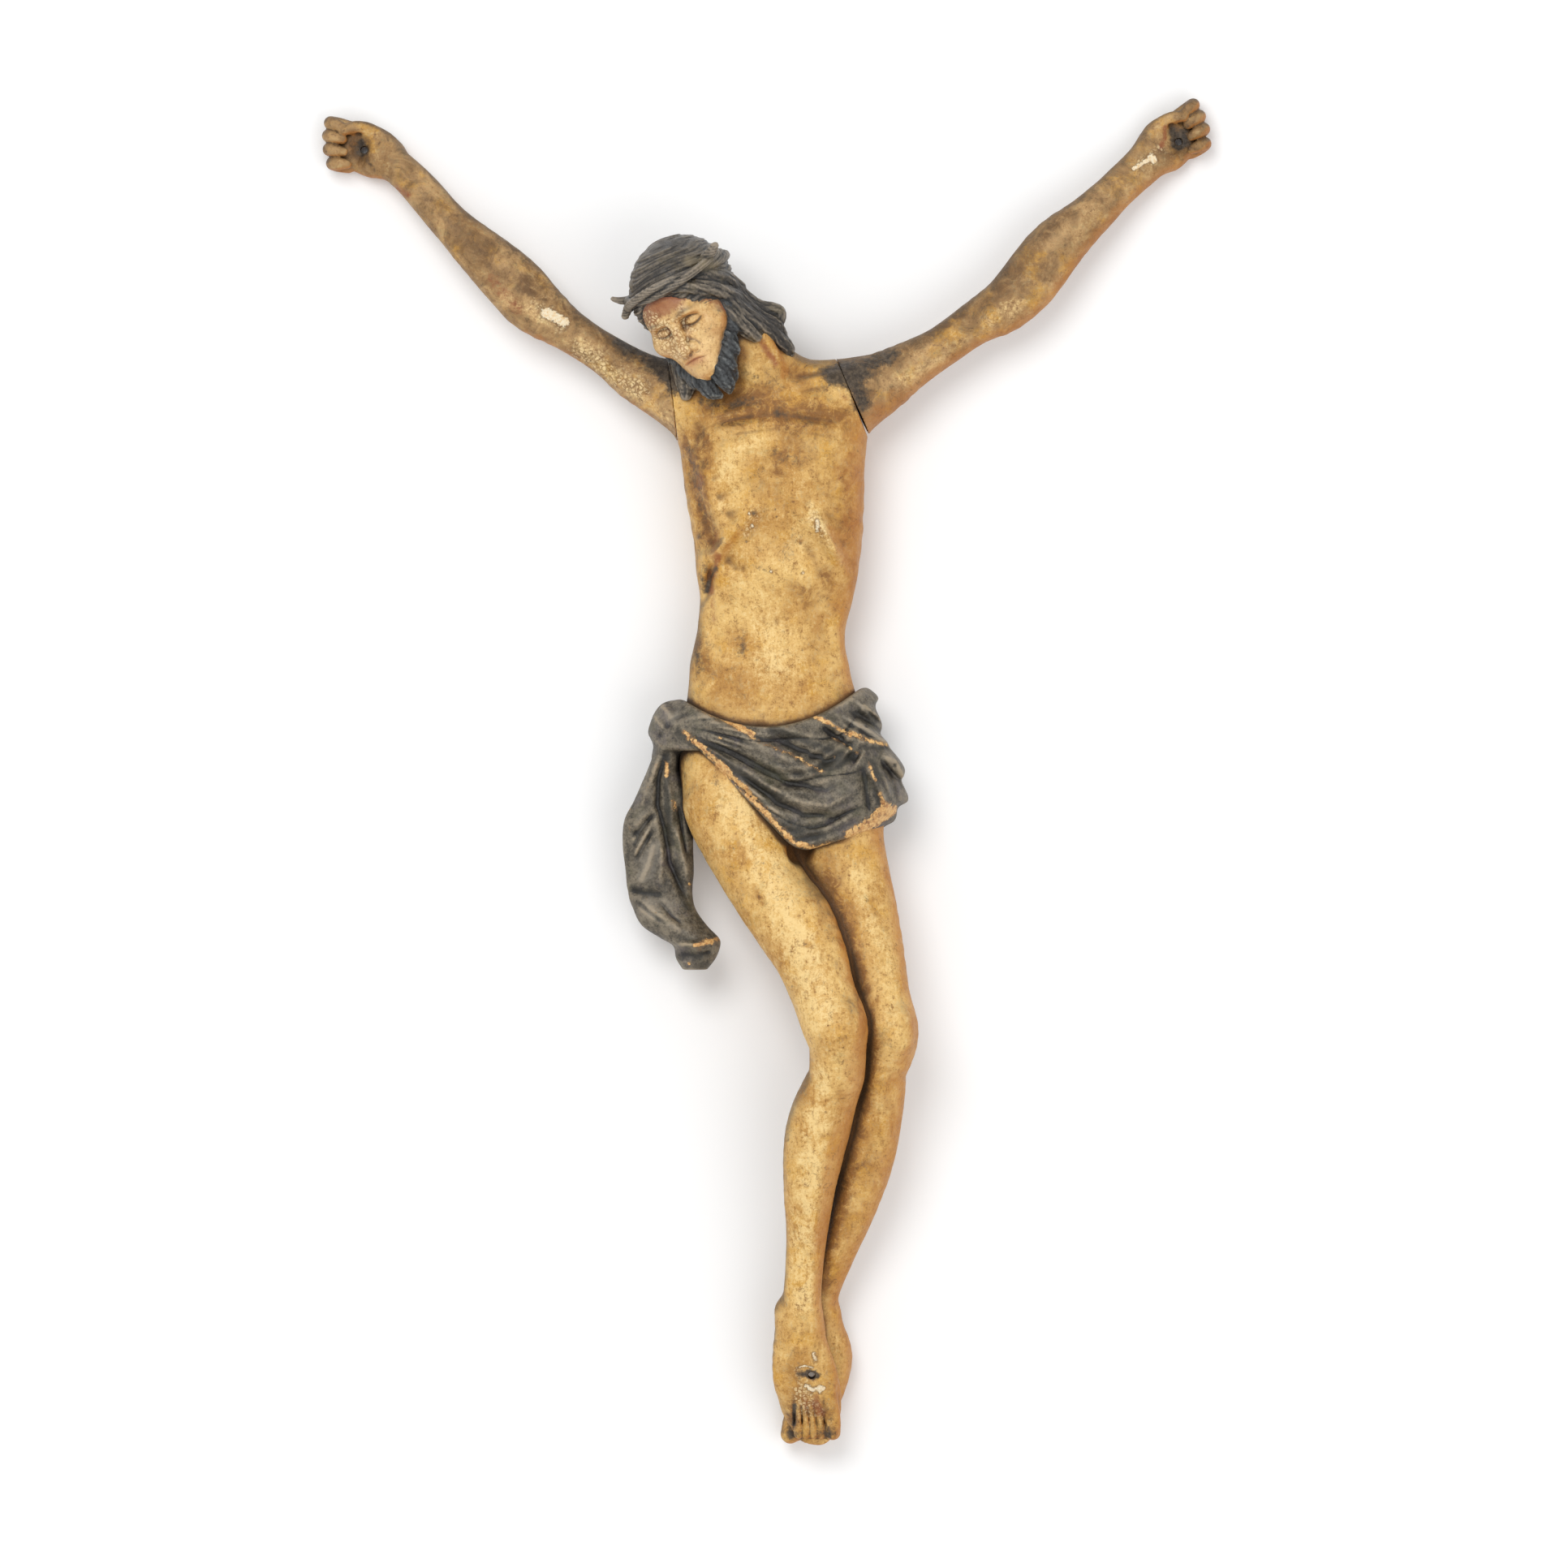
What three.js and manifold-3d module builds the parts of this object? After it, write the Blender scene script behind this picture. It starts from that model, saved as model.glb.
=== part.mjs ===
// A carved and painted wooden corpus, the figure of a crucifix without its cross, lying on its back.
// The trunk, head, legs and loincloth are one block of wood. Each arm is a second piece, let in at the
// shoulder with an open seam. A nail hole goes through each hand and through the crossed feet.
//
// The frame: +Y runs from the feet to the head, +X to the figure's left, and +Z out of the chest.
// The origin is on the flat planed on the back, in the plane that the figure lies on.
//
// The carving is a field: a function that gives the distance from a point to the wood's surface, below
// zero inside. Fields are blended into one another, meshed on a grid, and thinned to few triangles.
import * as THREE from "three";
import { mergeVertices } from "three/addons/utils/BufferGeometryUtils.js";
import Module from "manifold-3d";

const wasm = await Module();
wasm.setup();

// Driving dimensions, in millimetres.
const FIGURE_LENGTH = 596; // from the raised hands to the toes
const NAIL_HOLE_DIAMETER = 3.2;
const SEAM_WIDTH = 0.35; // open joint between each arm and the trunk
const TRUNK_TRIANGLES = 7000;
const ARM_TRIANGLES = 1150;

// The carving below is measured on a figure of this length, in millimetres, and grows with FIGURE_LENGTH.
const CANON_LENGTH = 596;
const growth = FIGURE_LENGTH / CANON_LENGTH;
const GRID_STEP = 1.65;

const { clamp, lerp, smoothstep, degToRad } = THREE.MathUtils;
const bell = (distance, width) => Math.exp(-((distance / width) ** 2));
const fade = (value, from, to) => 1 - smoothstep(value, from, to);
const wave = (turns) => Math.cos(2 * Math.PI * turns);

// Distance fields

// The nearer of two fields, with the crease between them rounded over.
function blend(a, b, rounding) {
  const overlap = Math.max(rounding - Math.abs(a - b), 0) / rounding;
  return Math.min(a, b) - (overlap * overlap * rounding) / 4;
}

// What is left of a when b is cut out of it.
const cut = (a, b, rounding) => -blend(-a, b, rounding);

// What a and b have in common.
const common = (a, b, rounding) => -blend(-a, -b, rounding);

// A field that is only worked out near its box, to save time.
function near([x0, x1], [y0, y1], [z0, z1], field) {
  const margin = 7;
  return (x, y, z) => {
    const away = Math.hypot(
      Math.max(x0 - x, x - x1, 0),
      Math.max(y0 - y, y - y1, 0),
      Math.max(z0 - z, z - z1, 0),
    );
    return away > margin ? away : field(x, y, z);
  };
}

// The same field about another centre, turned by degrees about Y, then X, then Z.
function turned(field, [cx, cy, cz], [yaw, pitch, roll]) {
  const turn = new THREE.Matrix4()
    .makeRotationZ(degToRad(roll))
    .multiply(new THREE.Matrix4().makeRotationX(degToRad(pitch)))
    .multiply(new THREE.Matrix4().makeRotationY(degToRad(yaw)));
  const e = turn.elements;
  return (x, y, z) => {
    const [dx, dy, dz] = [x - cx, y - cy, z - cz];
    return field(
      e[0] * dx + e[1] * dy + e[2] * dz,
      e[4] * dx + e[5] * dy + e[6] * dz,
      e[8] * dx + e[9] * dy + e[10] * dz,
    );
  };
}

function ellipsoid([cx, cy, cz], [rx, ry, rz]) {
  const least = Math.min(rx, ry, rz);
  return (x, y, z) => (Math.hypot((x - cx) / rx, (y - cy) / ry, (z - cz) / rz) - 1) * least;
}

// Rows of numbers, splined into a given number of steps between each two rows.
function splined(rows, steps) {
  const out = [];
  for (let i = 0; i < rows.length - 1; i++) {
    const [b, c] = [rows[i], rows[i + 1]];
    const a = rows[i - 1] ?? b.map((v, n) => 2 * v - c[n]);
    const d = rows[i + 2] ?? c.map((v, n) => 2 * v - b[n]);
    for (let k = 0; k < steps; k++) {
      const t = k / steps;
      out.push(b.map((_, n) => catmullRom(a[n], b[n], c[n], d[n], t)));
    }
  }
  out.push(rows.at(-1));
  return out;
}

function catmullRom(a, b, c, d, t) {
  return b + 0.5 * t * (c - a + t * (2 * a - 5 * b + 4 * c - d + t * (3 * (b - c) + d - a)));
}

// A limb through stations [x, y, z, half width, half depth]. The depth is measured along Z.
function limb(stations, steps = 3) {
  const rows = splined(stations.map((s) => [s[0], s[1], s[2], s[3], s[4] ?? s[3]]), steps);
  const runs = rows.slice(1).map((end, i) => {
    const [x, y, z, w, d] = rows[i];
    const way = [end[0] - x, end[1] - y, end[2] - z];
    const length2 = way[0] ** 2 + way[1] ** 2 + way[2] ** 2 || 1e-9;
    const flat = 1 - way[2] ** 2 / length2;
    const lift = 1 / Math.sqrt(Math.max(flat, 0.05));
    const depthAxis = way.map((v, n) => ((n === 2 ? 1 : 0) - (way[2] * v) / length2) * lift);
    return { x, y, z, w, d, dw: end[3] - w, dd: end[4] - d, way, length2, depthAxis };
  });
  return (x, y, z) => {
    let best = Infinity;
    for (const r of runs) {
      const [px, py, pz] = [x - r.x, y - r.y, z - r.z];
      const t = clamp((px * r.way[0] + py * r.way[1] + pz * r.way[2]) / r.length2, 0, 1);
      const [qx, qy, qz] = [px - t * r.way[0], py - t * r.way[1], pz - t * r.way[2]];
      const deep = qx * r.depthAxis[0] + qy * r.depthAxis[1] + qz * r.depthAxis[2];
      const wide2 = Math.max(qx * qx + qy * qy + qz * qz - deep * deep, 0);
      const w = r.w + t * r.dw;
      const d = r.d + t * r.dd;
      const reach = (Math.sqrt(wide2 / (w * w) + (deep * deep) / (d * d)) - 1) * Math.min(w, d);
      if (reach < best) best = reach;
    }
    return best;
  };
}

const LEVEL_COUNT = 1200;

// The level sections [y, centre x, centre z, half width, half depth] of an upright form, and a lookup by y.
function levels(sections) {
  const rows = splined(sections, 6);
  const [high, low] = [rows[0][0], rows.at(-1)[0]];
  const step = (high - low) / LEVEL_COUNT;
  const table = [];
  for (let n = 0, i = 0; n <= LEVEL_COUNT; n++) {
    const y = high - n * step;
    while (i < rows.length - 2 && rows[i + 1][0] > y) i++;
    const t = clamp((rows[i][0] - y) / (rows[i][0] - rows[i + 1][0]), 0, 1);
    table.push(rows[i].map((v, k) => lerp(v, rows[i + 1][k], t)));
  }
  return { high, low, at: (y) => table[Math.round(clamp((high - y) / step, 0, LEVEL_COUNT))] };
}

// An upright form through level sections, squared off by a power over 2. The relief stands out of it.
function trunk(form, power, relief) {
  return (x, y, z) => {
    const section = form.at(y);
    const [, cx, cz, w, d] = section;
    const ring = (Math.abs((x - cx) / w) ** power + Math.abs((z - cz) / d) ** power) ** (1 / power);
    const side = (ring - 1) * Math.min(w, d) - relief(x, y, z, section);
    const end = Math.max(y - form.high, form.low - y, 0);
    return end > 0 ? Math.hypot(Math.max(side, 0), end) : side;
  };
}

// Strokes of the gouge along paths seen from the front: [height, width, [x, y], [x, y], ...].
function strokes(list) {
  const runs = list.flatMap(([height, width, ...path]) =>
    path.slice(1).map(([x1, y1], i) => {
      const [x, y] = path[i];
      return { height, width, x, y, x1, y1, first: i === 0 };
    }),
  );
  return (x, y) => {
    let [sum, nearest] = [0, 0];
    runs.forEach(({ height, width, x: x0, y: y0, x1, y1, first }, i) => {
      const [dx, dy] = [x1 - x0, y1 - y0];
      const t = clamp(((x - x0) * dx + (y - y0) * dy) / (dx * dx + dy * dy), 0, 1);
      const value = bell(Math.hypot(x - x0 - t * dx, y - y0 - t * dy), width);
      nearest = first ? value : Math.max(nearest, value);
      if (i === runs.length - 1 || runs[i + 1].first) sum += height * nearest;
    });
    return sum;
  };
}

// Trunk

const TORSO_LEVELS = levels([
  [50, 0, 29, 22, 9],
  [43, 1, 28, 36, 17],
  [34, 1, 27, 41, 23],
  [22, 1, 26, 41.4, 26.5],
  [8, 1.2, 25, 40.3, 27.5],
  [-6, 2, 25, 39.3, 27],
  [-20, 2.9, 26, 37.8, 25.5],
  [-36, 2.9, 27, 36, 22.5],
  [-52, 2.2, 26.5, 33.6, 18.5],
  [-66, -0.4, 26, 32.6, 16.5],
  [-79, -0.7, 26, 35, 18],
  [-93, 0.5, 26, 37.3, 20.5],
  [-110, 3, 26, 42, 23.5],
  [-128, 5.5, 27, 44, 24.5],
  [-146, 6, 28, 43, 23],
  [-158, 5, 29, 34, 18],
]);
const MIDLINE = 2.5; // the breastbone's x

// The lower edge of the rib cage at a distance from the midline.
const ribArch = (aside) => -12 - 0.028 * aside * aside;

// Chest and belly: what stands out of the torso's front, in millimetres.
function frontRelief(x, y) {
  const aside = Math.abs(x - MIDLINE);
  const arch = ribArch(aside);
  const onCage = smoothstep(y, arch - 2, arch + 5);
  const breasts = 2.6 * bell(aside - 19, 13) * bell(y - 10, 12);
  const breastbone = -1.5 * bell(aside, 3.6) * smoothstep(y, -16, -4) * fade(y, 34, 46);
  const archEdge = 2.2 * bell(y - arch - 2, 4.5) * smoothstep(aside, 3, 12);
  const hollow = -2.4 * bell(y - arch + 12, 10) * bell(aside, 26);
  const ribs = 0.6 * wave((y + 0.4 * aside) / 9.5) * smoothstep(aside, 10, 22) * onCage * fade(y, 8, 24);
  const upperRibs = 0.5 * wave((y + 0.15 * aside) / 7) * bell(y - 28, 9) * bell(aside - 14, 14);
  const bellyLine = -1 * bell(aside, 2.6) * smoothstep(y, -62, -50) * fade(y, -26, -14);
  const bellySides = -0.9 * bell(aside - 19, 3.4) * bell(y + 58, 16);
  const navel = -2.2 * bell(aside, 2.3) * bell(y + 60, 2.8);
  const belly = 1.8 * bell(aside, 18) * bell(y + 78, 14);
  const cage = breasts + breastbone + archEdge + hollow + ribs + upperRibs;
  return cage + bellyLine + bellySides + navel + belly;
}

// Ribs that go round the flanks, and the wound cut in the right one.
function sideRelief(x, y) {
  const ribs = 0.5 * wave((y + 10) / 9.5) * bell(y + 12, 20);
  const along = y + 41;
  const across = x + 26.5 - 0.3 * along;
  const wound = -2.2 * bell(across, 1.7) * bell(along, 8);
  return { ribs, wound };
}

// Shoulder blades and the groove of the spine.
function backRelief(x, y) {
  const aside = Math.abs(x - 1);
  const blades = 1.6 * bell(aside - 21, 9) * bell(y - 18, 14);
  const spine = -1.8 * bell(aside, 3.5) * (1 - bell(y - 2, 22));
  return blades + spine;
}

function torsoRelief(x, y, z, [, , cz, , d]) {
  const front = smoothstep((z - cz) / d, 0.15, 0.7);
  const back = smoothstep((cz - z) / d, 0.3, 0.8);
  const side = 1 - front - back;
  const { ribs, wound } = sideRelief(x, y);
  const cutIn = smoothstep(z, cz, cz + 10) * wound;
  return front * frontRelief(x, y) + back * backRelief(x, y) + side * ribs + cutIn;
}

const torso = trunk(TORSO_LEVELS, 2.4, torsoRelief);
const neck = limb([
  [1, 32, 29, 17, 13],
  [-2, 46, 34, 14, 13],
  [-9, 58, 40, 12.3, 12.3],
  [-17, 68, 45, 12, 12],
  [-27, 80, 48, 12, 12],
]);
const shoulders = [
  limb([[0, 53, 31, 9], [14, 46, 29, 10], [33, 41, 27, 12]]),
  limb([[-6, 53, 31, 9], [-17, 46, 29, 10], [-34, 41, 27, 12]]),
];
const collarbones = [
  limb([[4, 41, 44.5, 2.6], [20, 46, 43, 2.3], [38, 49, 35, 2.6]]),
  limb([[-3, 41, 44.5, 2.6], [-19, 45, 43, 2.3], [-35, 46, 36, 2.6]]),
];
const neckCords = [
  limb([[3, 42, 43.5, 2.2], [2, 53, 47, 3], [-4, 66, 50, 3.4]]),
  limb([[-1, 42, 43.5, 2.2], [-9, 50, 49, 2.6]]),
];

function trunkAndNeck(x, y, z) {
  let d = torso(x, y, z);
  for (const shoulder of shoulders) d = blend(d, shoulder(x, y, z), 10);
  d = blend(d, neck(x, y, z), 9);
  for (const bone of collarbones) d = blend(d, bone(x, y, z), 3);
  for (const cord of neckCords) d = blend(d, cord(x, y, z), 4);
  return d;
}

// Head, in a frame of its own: the eyes are level with its centre, and the nose points along +Z.

const HEAD_CENTRE = [-35.5, 78, 51];
const HEAD_TURN = [-30, 15, 35]; // yaw to the right, nod, lean on the right shoulder
const HAIRLINE = 17;
const BROW = 4;
const NOSE_BASE = -11;
const MOUTH = -16;
const CHIN = -27;

const skull = ellipsoid([0, 9, -3], [20, 22, 24.5]);
const jaw = limb([[0, -2, 2, 17, 19], [0, -13, 5, 15, 17], [0, -21, 10, 10.5, 12]]);
const chin = ellipsoid([0, CHIN + 4.5, 18.5], [5.5, 5, 5]);
const nose = limb([[0, BROW - 2, 20.5, 2], [0, -3, 23.5, 2.2], [0, -8.5, 26.2, 2.9]]);

function face(x, y, z) {
  const aside = Math.abs(x);
  let d = blend(skull(x, y, z), jaw(x, y, z), 7);
  d = blend(d, chin(x, y, z), 5);
  const browRidge = Math.hypot(aside - 8, (y - BROW - 0.6 + 0.05 * (aside - 8) ** 2) * 1.1, z - 18.5) - 4.2;
  d = blend(d, browRidge, 5);
  const cheekbone = Math.hypot((aside - 11.5) * 0.9, (y + 6) * 1.1, z - 13) - 6.2;
  d = blend(d, cheekbone, 6);
  const socket = Math.hypot((aside - 7.4) / 6.2, (y - 0.2) / 3.7, (z - 22) / 4.2) - 1;
  d = cut(d, socket * 3.7, 3);
  const eyeball = Math.hypot((aside - 7.4) * 0.86, y + 0.2, z - 15.6) - 3.7;
  const lids = -0.5 * bell(y + 1.7 + 0.05 * (aside - 7.4) ** 2, 0.7);
  d = blend(d, eyeball - lids, 1);
  d = blend(d, nose(x, y, z), 2.6);
  const nostrils = Math.hypot(aside - 2.7, (y - NOSE_BASE - 1.6) * 0.95, z - 22.6) - 2.1;
  d = blend(d, nostrils, 1.3);
  const muzzle = Math.hypot(x / 8.5, (y - MOUTH) / 6.5, (z - 16) / 7) - 1;
  d = blend(d, muzzle * 6, 5);
  const lipLine = 0.7 - 0.035 * x * x;
  const upperLip = Math.hypot(x / 5.6, (y - MOUTH - 1.3 - lipLine) / 1.5, (z - 22.4) / 2) - 1;
  const lowerLip = Math.hypot(x / 4.6, (y - MOUTH + 1.6 - lipLine) / 1.7, (z - 22) / 2.2) - 1;
  d = blend(d, Math.min(upperLip * 1.5, lowerLip * 1.7), 0.8);
  return d;
}

// Combed strands: grooves that run from the face to the back of the head.
const strands = (x, y, z) => 0.55 * wave((y - 0.35 * z + 0.8 * Math.sin(z / 4 + x / 9)) / 3.7);

const hairCap = ellipsoid([0, 9, -4], [22.6, 24.2, 27]);
const faceOpening = ellipsoid([-2.5, HAIRLINE - 23, 28], [19.5, 24, 27]);
const nape = limb([[0, 2, -16, 18, 11], [2, -14, -14, 15, 9], [6, -26, -8, 10, 7]]);

function hair(x, y, z) {
  const cap = blend(hairCap(x, y, z), nape(x, y, z), 6);
  return cut(cap - strands(x, y, z), faceOpening(x, y, z), 2);
}

// The beard follows the jaw from ear to chin, in short curls.
const beardLine = splined(
  [[19, 0, 1, 2.6], [17.6, -9, 4, 4], [13.5, -19, 9, 4.6], [7.5, -27, 15.5, 4.9], [2.5, -32, 19, 4.6]],
  3,
);
const curls = beardLine.flatMap(([x, y, z, r], i) => {
  const out = i % 2 ? 1.4 : -0.6;
  return [1, -1].map((side) => ellipsoid([side * (x + out), y - 1, z + out], [r, r * 0.8, r]));
});

function beard(x, y, z) {
  return curls.reduce((d, curl) => blend(d, curl(x, y, z), 0.7), Infinity);
}

// A twisted wreath of two stems round the head, with the ends of its thorns standing out.
const WREATH_HEIGHT = 16.5;
const WREATH_TILT = 0.12;
const STEM_RADIUS = 2;
const TWISTS = 7;
const wreath = [0, 0.5].map((phase) => {
  const stations = [];
  for (let i = 0; i <= 56; i++) {
    const angle = (i / 56) * 2 * Math.PI;
    const twist = 2 * Math.PI * (TWISTS * (i / 56) + phase);
    const out = 0.4 + 1.5 * Math.cos(twist);
    const z = -4 + (27 + out) * 0.95 * Math.cos(angle);
    stations.push([
      (22.2 + out) * Math.sin(angle),
      WREATH_HEIGHT + WREATH_TILT * z + 1.7 * Math.sin(twist),
      z,
      STEM_RADIUS,
    ]);
  }
  return limb(stations, 1);
});
const thorns = [
  limb([[-21, 16, 2, 2.2], [-26, 18.5, 2, 1.6], [-28.6, 20.5, 1.6, 1.1]]),
  limb([[-22, 15, 6, 2.2], [-25.4, 12.4, 7, 1.7]]),
  limb([[20, 17, 2, 2.6], [25, 18.6, 1, 2.3], [28.2, 20.2, 0, 1.7]]),
];

function crown(x, y, z) {
  return [...wreath, ...thorns].reduce((d, stem) => blend(d, stem(x, y, z), 0.6), Infinity);
}

function wholeHead(x, y, z) {
  let d = face(x, y, z);
  d = blend(d, hair(x, y, z), 0.8);
  d = blend(d, beard(x, y, z), 0.8);
  return blend(d, crown(x, y, z), 0.6);
}

const head = near([-80, 4], [34, 114], [14, 92], turned(wholeHead, HEAD_CENTRE, HEAD_TURN));

// Locks of hair that fall over the left of the neck, waved against each other.
const LOCK_PATH = [
  [-27, 90, 44, 11],
  [-17.5, 80, 42, 10],
  [-9, 73, 40, 9.5],
  [-3, 68, 38, 8.5],
  [1.5, 62, 36, 6.5],
  [5.2, 56, 34.5, 4],
];
const LOCK_COUNT = 6;
const locks = Array.from({ length: LOCK_COUNT }, (_, n) => {
  const around = degToRad(-70 + (180 * n) / (LOCK_COUNT - 1));
  return limb(
    LOCK_PATH.map(([x, y, z, r], i) => {
      const out = (r - 2.6) * (1 + 0.14 * (-1) ** (i + n));
      const [aside, forward] = [out * Math.cos(around), out * Math.sin(around)];
      return [x + 0.75 * aside, y + 0.6 * aside, z + forward, 3];
    }),
  );
});
const lockCore = limb(LOCK_PATH.map(([x, y, z, r]) => [x, y, z, r - 2]));
const endCurls = [ellipsoid([3, 77, 41], [3.4, 3.2, 4]), ellipsoid([5, 65, 37], [3, 3.4, 4])];
const shoulderLock = limb([
  [-42, 63, 42, 4],
  [-39.5, 54, 42, 4.6],
  [-37.5, 46, 43, 4.4],
  [-37.5, 40, 44, 2.6],
]);

const fallingHair = near([-40, 12], [48, 108], [22, 62], (x, y, z) => {
  let d = lockCore(x, y, z);
  for (const lock of [...locks, ...endCurls]) d = blend(d, lock(x, y, z), 0.8);
  return d;
});

// Arms

const ARM_LEFT = limb([
  [30.6, 38.9, 27, 13.5, 13],
  [46.4, 44.4, 26, 13.8, 12.5],
  [60.5, 52.9, 25, 10.9, 10],
  [75.7, 61.8, 24, 9.1, 9],
  [90.3, 72.1, 23.5, 9.6, 9],
  [104.1, 80.2, 23, 12, 9.4],
  [115.7, 92.5, 22, 13, 9.8],
  [126.9, 106.7, 20.5, 12.4, 9.4],
  [140.3, 118.9, 18, 9.7, 8.4],
  [154.7, 132.9, 14.5, 8.6, 7.4],
  [167.4, 144.9, 10.5, 9.1, 6.6],
  [173, 149.4, 8, 9.8, 6.2],
]);
const ARM_RIGHT = limb([
  [-31.7, 36, 27, 13.5, 13],
  [-46.8, 42.6, 26, 13, 12.4],
  [-59.6, 48.8, 25, 11.3, 10.2],
  [-74, 58.7, 24, 9, 8.8],
  [-89.2, 68.6, 23.5, 9.4, 8.8],
  [-103.6, 79.1, 23, 12.5, 9.4],
  [-114.9, 90.9, 22, 12.9, 9.6],
  [-128, 103, 20.5, 11, 9],
  [-141.6, 116.2, 18, 8.6, 8.2],
  [-154.2, 130.6, 14.5, 8, 7.4],
  [-164.6, 140.8, 11.5, 7.6, 6.6],
  [-172.4, 145.8, 9, 8.8, 6.2],
]);

// A clenched hand in a frame of its own: the fingers point along +X, the thumb lies on +Y, the palm is +Z.
const FINGER_PITCH = 5.7;
const FINGER_REACH = [10.6, 13.7, 15.4, 15.8]; // from the little finger to the first
const fingers = FINGER_REACH.map((reach, n) => {
  const y = (n - 1.5) * FINGER_PITCH;
  return limb([
    [4, y * 0.94, -1.5, 3.3],
    [reach - 2.6, y, 0, 3.1],
    [reach, y, 4.2, 2.9],
    [reach - 3.4, y * 0.97, 7.8, 2.6],
    [reach - 8.4, y * 0.94, 7.4, 2.3],
  ]);
});
const palm = ellipsoid([0, 0, 0], [12, 12, 6.4]);
const heelOfHand = limb([[-13, 0, 0, 7.5, 6], [-7, 0, 0.5, 9, 6.4]]);
const thumb = limb([[-9, 6, 3, 3.6], [-2, 10.6, 4.6, 3.3], [5, 10.4, 6.6, 3], [10, 7.6, 8.4, 2.6]]);
const palmHollow = ellipsoid([-0.5, -1, 8.6], [6.4, 6.6, 4.4]);

function hand(x, y, z) {
  let d = blend(palm(x, y, z), heelOfHand(x, y, z), 5);
  d = blend(d, thumb(x, y, z), 2.5);
  d = cut(d, palmHollow(x, y, z), 2);
  for (const finger of fingers) d = blend(d, finger(x, y, z), 0.7);
  return d;
}

const HAND_LEFT = { centre: [178.6, 153.2, 5.2], roll: 33.5 };
const HAND_RIGHT = { centre: [-181.7, 149.2, 5.2], roll: -13 };
const handLeft = turned(hand, HAND_LEFT.centre, [0, 0, HAND_LEFT.roll]);
const handRight = turned((x, y, z) => hand(-x, y, z), HAND_RIGHT.centre, [0, 0, HAND_RIGHT.roll]);

// Each shoulder's seam is a plane: a point on it, and the direction in which the arm leaves it.
const SEAM_LEFT = { point: [36.5, 37.8], out: [0.923, 0.385] };
const SEAM_RIGHT = { point: [-43.4, 38], out: [-0.993, -0.12] };
const SEAM_SPAN = [-34, 24]; // how far the cut runs along each seam, from its point
const SEAM_TOP = 45;
const ARMPIT = 14; // no part of an arm is lower than this

// Legs

const LEG_RIGHT = limb([
  [-19, -124, 31, 20, 20],
  [-16, -147, 35, 19.6, 19.5],
  [-0.5, -178.3, 44, 17.4, 17.5],
  [10, -193, 49, 17.8, 17.5],
  [17.5, -207.7, 54, 15.8, 16],
  [23.4, -225, 59, 14.2, 15],
  [28, -237.6, 62, 14.4, 15],
  [29.5, -246.6, 61, 12.7, 14],
  [28.8, -260, 56, 12.3, 12.6],
  [25.6, -268.6, 53, 13.1, 12.8],
  [21.4, -281.5, 49.5, 14.1, 13.2],
  [18.9, -294, 46.5, 13.4, 12.8],
  [16.9, -311, 42.5, 11.3, 11.5],
  [16, -327, 39, 9.5, 10],
  [15, -342.7, 36.5, 8.4, 9],
  [13.7, -358.6, 34, 8.5, 8.8],
  [12.9, -370, 32, 9.4, 9],
]);
const LEG_LEFT = limb([
  [24, -126, 29, 22, 20],
  [27, -150, 30, 22, 18.5],
  [32, -172, 31, 20.4, 17],
  [36.6, -188, 34, 19.2, 16.5],
  [42.4, -206.6, 38, 16.5, 15.5],
  [47.2, -225, 42, 14, 14.5],
  [50.4, -239, 45, 14.4, 15],
  [51, -247.7, 44.5, 13, 14],
  [48.4, -258, 41, 11.6, 12.5],
  [47, -266.8, 38.5, 12.6, 12.5],
  [42.6, -287.6, 34, 13.8, 13],
  [40, -300, 31, 13.4, 12.4],
  [36, -316.4, 27, 11.6, 11],
  [29.8, -334, 22.5, 9.8, 9.6],
  [23.4, -351, 18.5, 8.7, 8.8],
  [20.5, -361.8, 16, 8.6, 8.8],
  [20.2, -371, 14, 9, 9],
]);
const kneecaps = [ellipsoid([31.5, -239.5, 73], [6.5, 8, 4.6]), ellipsoid([54.5, -241, 56], [6.5, 8, 4.6])];
const shinEdges = [
  limb([[29, -256, 66, 2.4], [21.5, -290, 57.5, 2.2], [16.5, -335, 45.5, 2]]),
  limb([[49, -257, 51.5, 2.4], [40.5, -295, 41.5, 2.2], [27, -340, 29, 2]]),
];
const ankleBones = [ellipsoid([6.2, -364, 31], [4.2, 5, 4.6]), ellipsoid([26.5, -366, 14], [4, 5, 4.4])];

function leg(shape, side, x, y, z) {
  let d = shape(x, y, z);
  d = blend(d, kneecaps[side](x, y, z), 5);
  d = blend(d, shinEdges[side](x, y, z), 5);
  return blend(d, ankleBones[side](x, y, z), 4);
}

// Feet: the right one lies over the left one, and both point down.
const footRight = limb([
  [12.7, -368, 31, 9.2, 9],
  [13, -381, 30, 12, 8.6],
  [15, -393, 28, 14.2, 7.6],
  [17, -401, 25.4, 13.6, 6],
]);
const soleRight = limb([
  [17.4, -402, 21.6, 12, 4],
  [18.6, -410, 20.4, 11.6, 3],
  [19.4, -415.5, 19.6, 9.5, 2.2],
]);
const footLeft = limb([
  [20.2, -369, 14.5, 9, 9],
  [24.6, -379, 11.5, 10, 9.6],
  [25.4, -389, 9.6, 10.4, 9.9],
  [20, -402, 9.8, 11, 8],
  [13.5, -413, 10, 8, 6],
  [8.6, -419.6, 10.5, 4.4, 4.6],
]);
const heelRight = ellipsoid([13, -374, 23], [9, 9, 9]);
const TOE_COUNT = 5;
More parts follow.
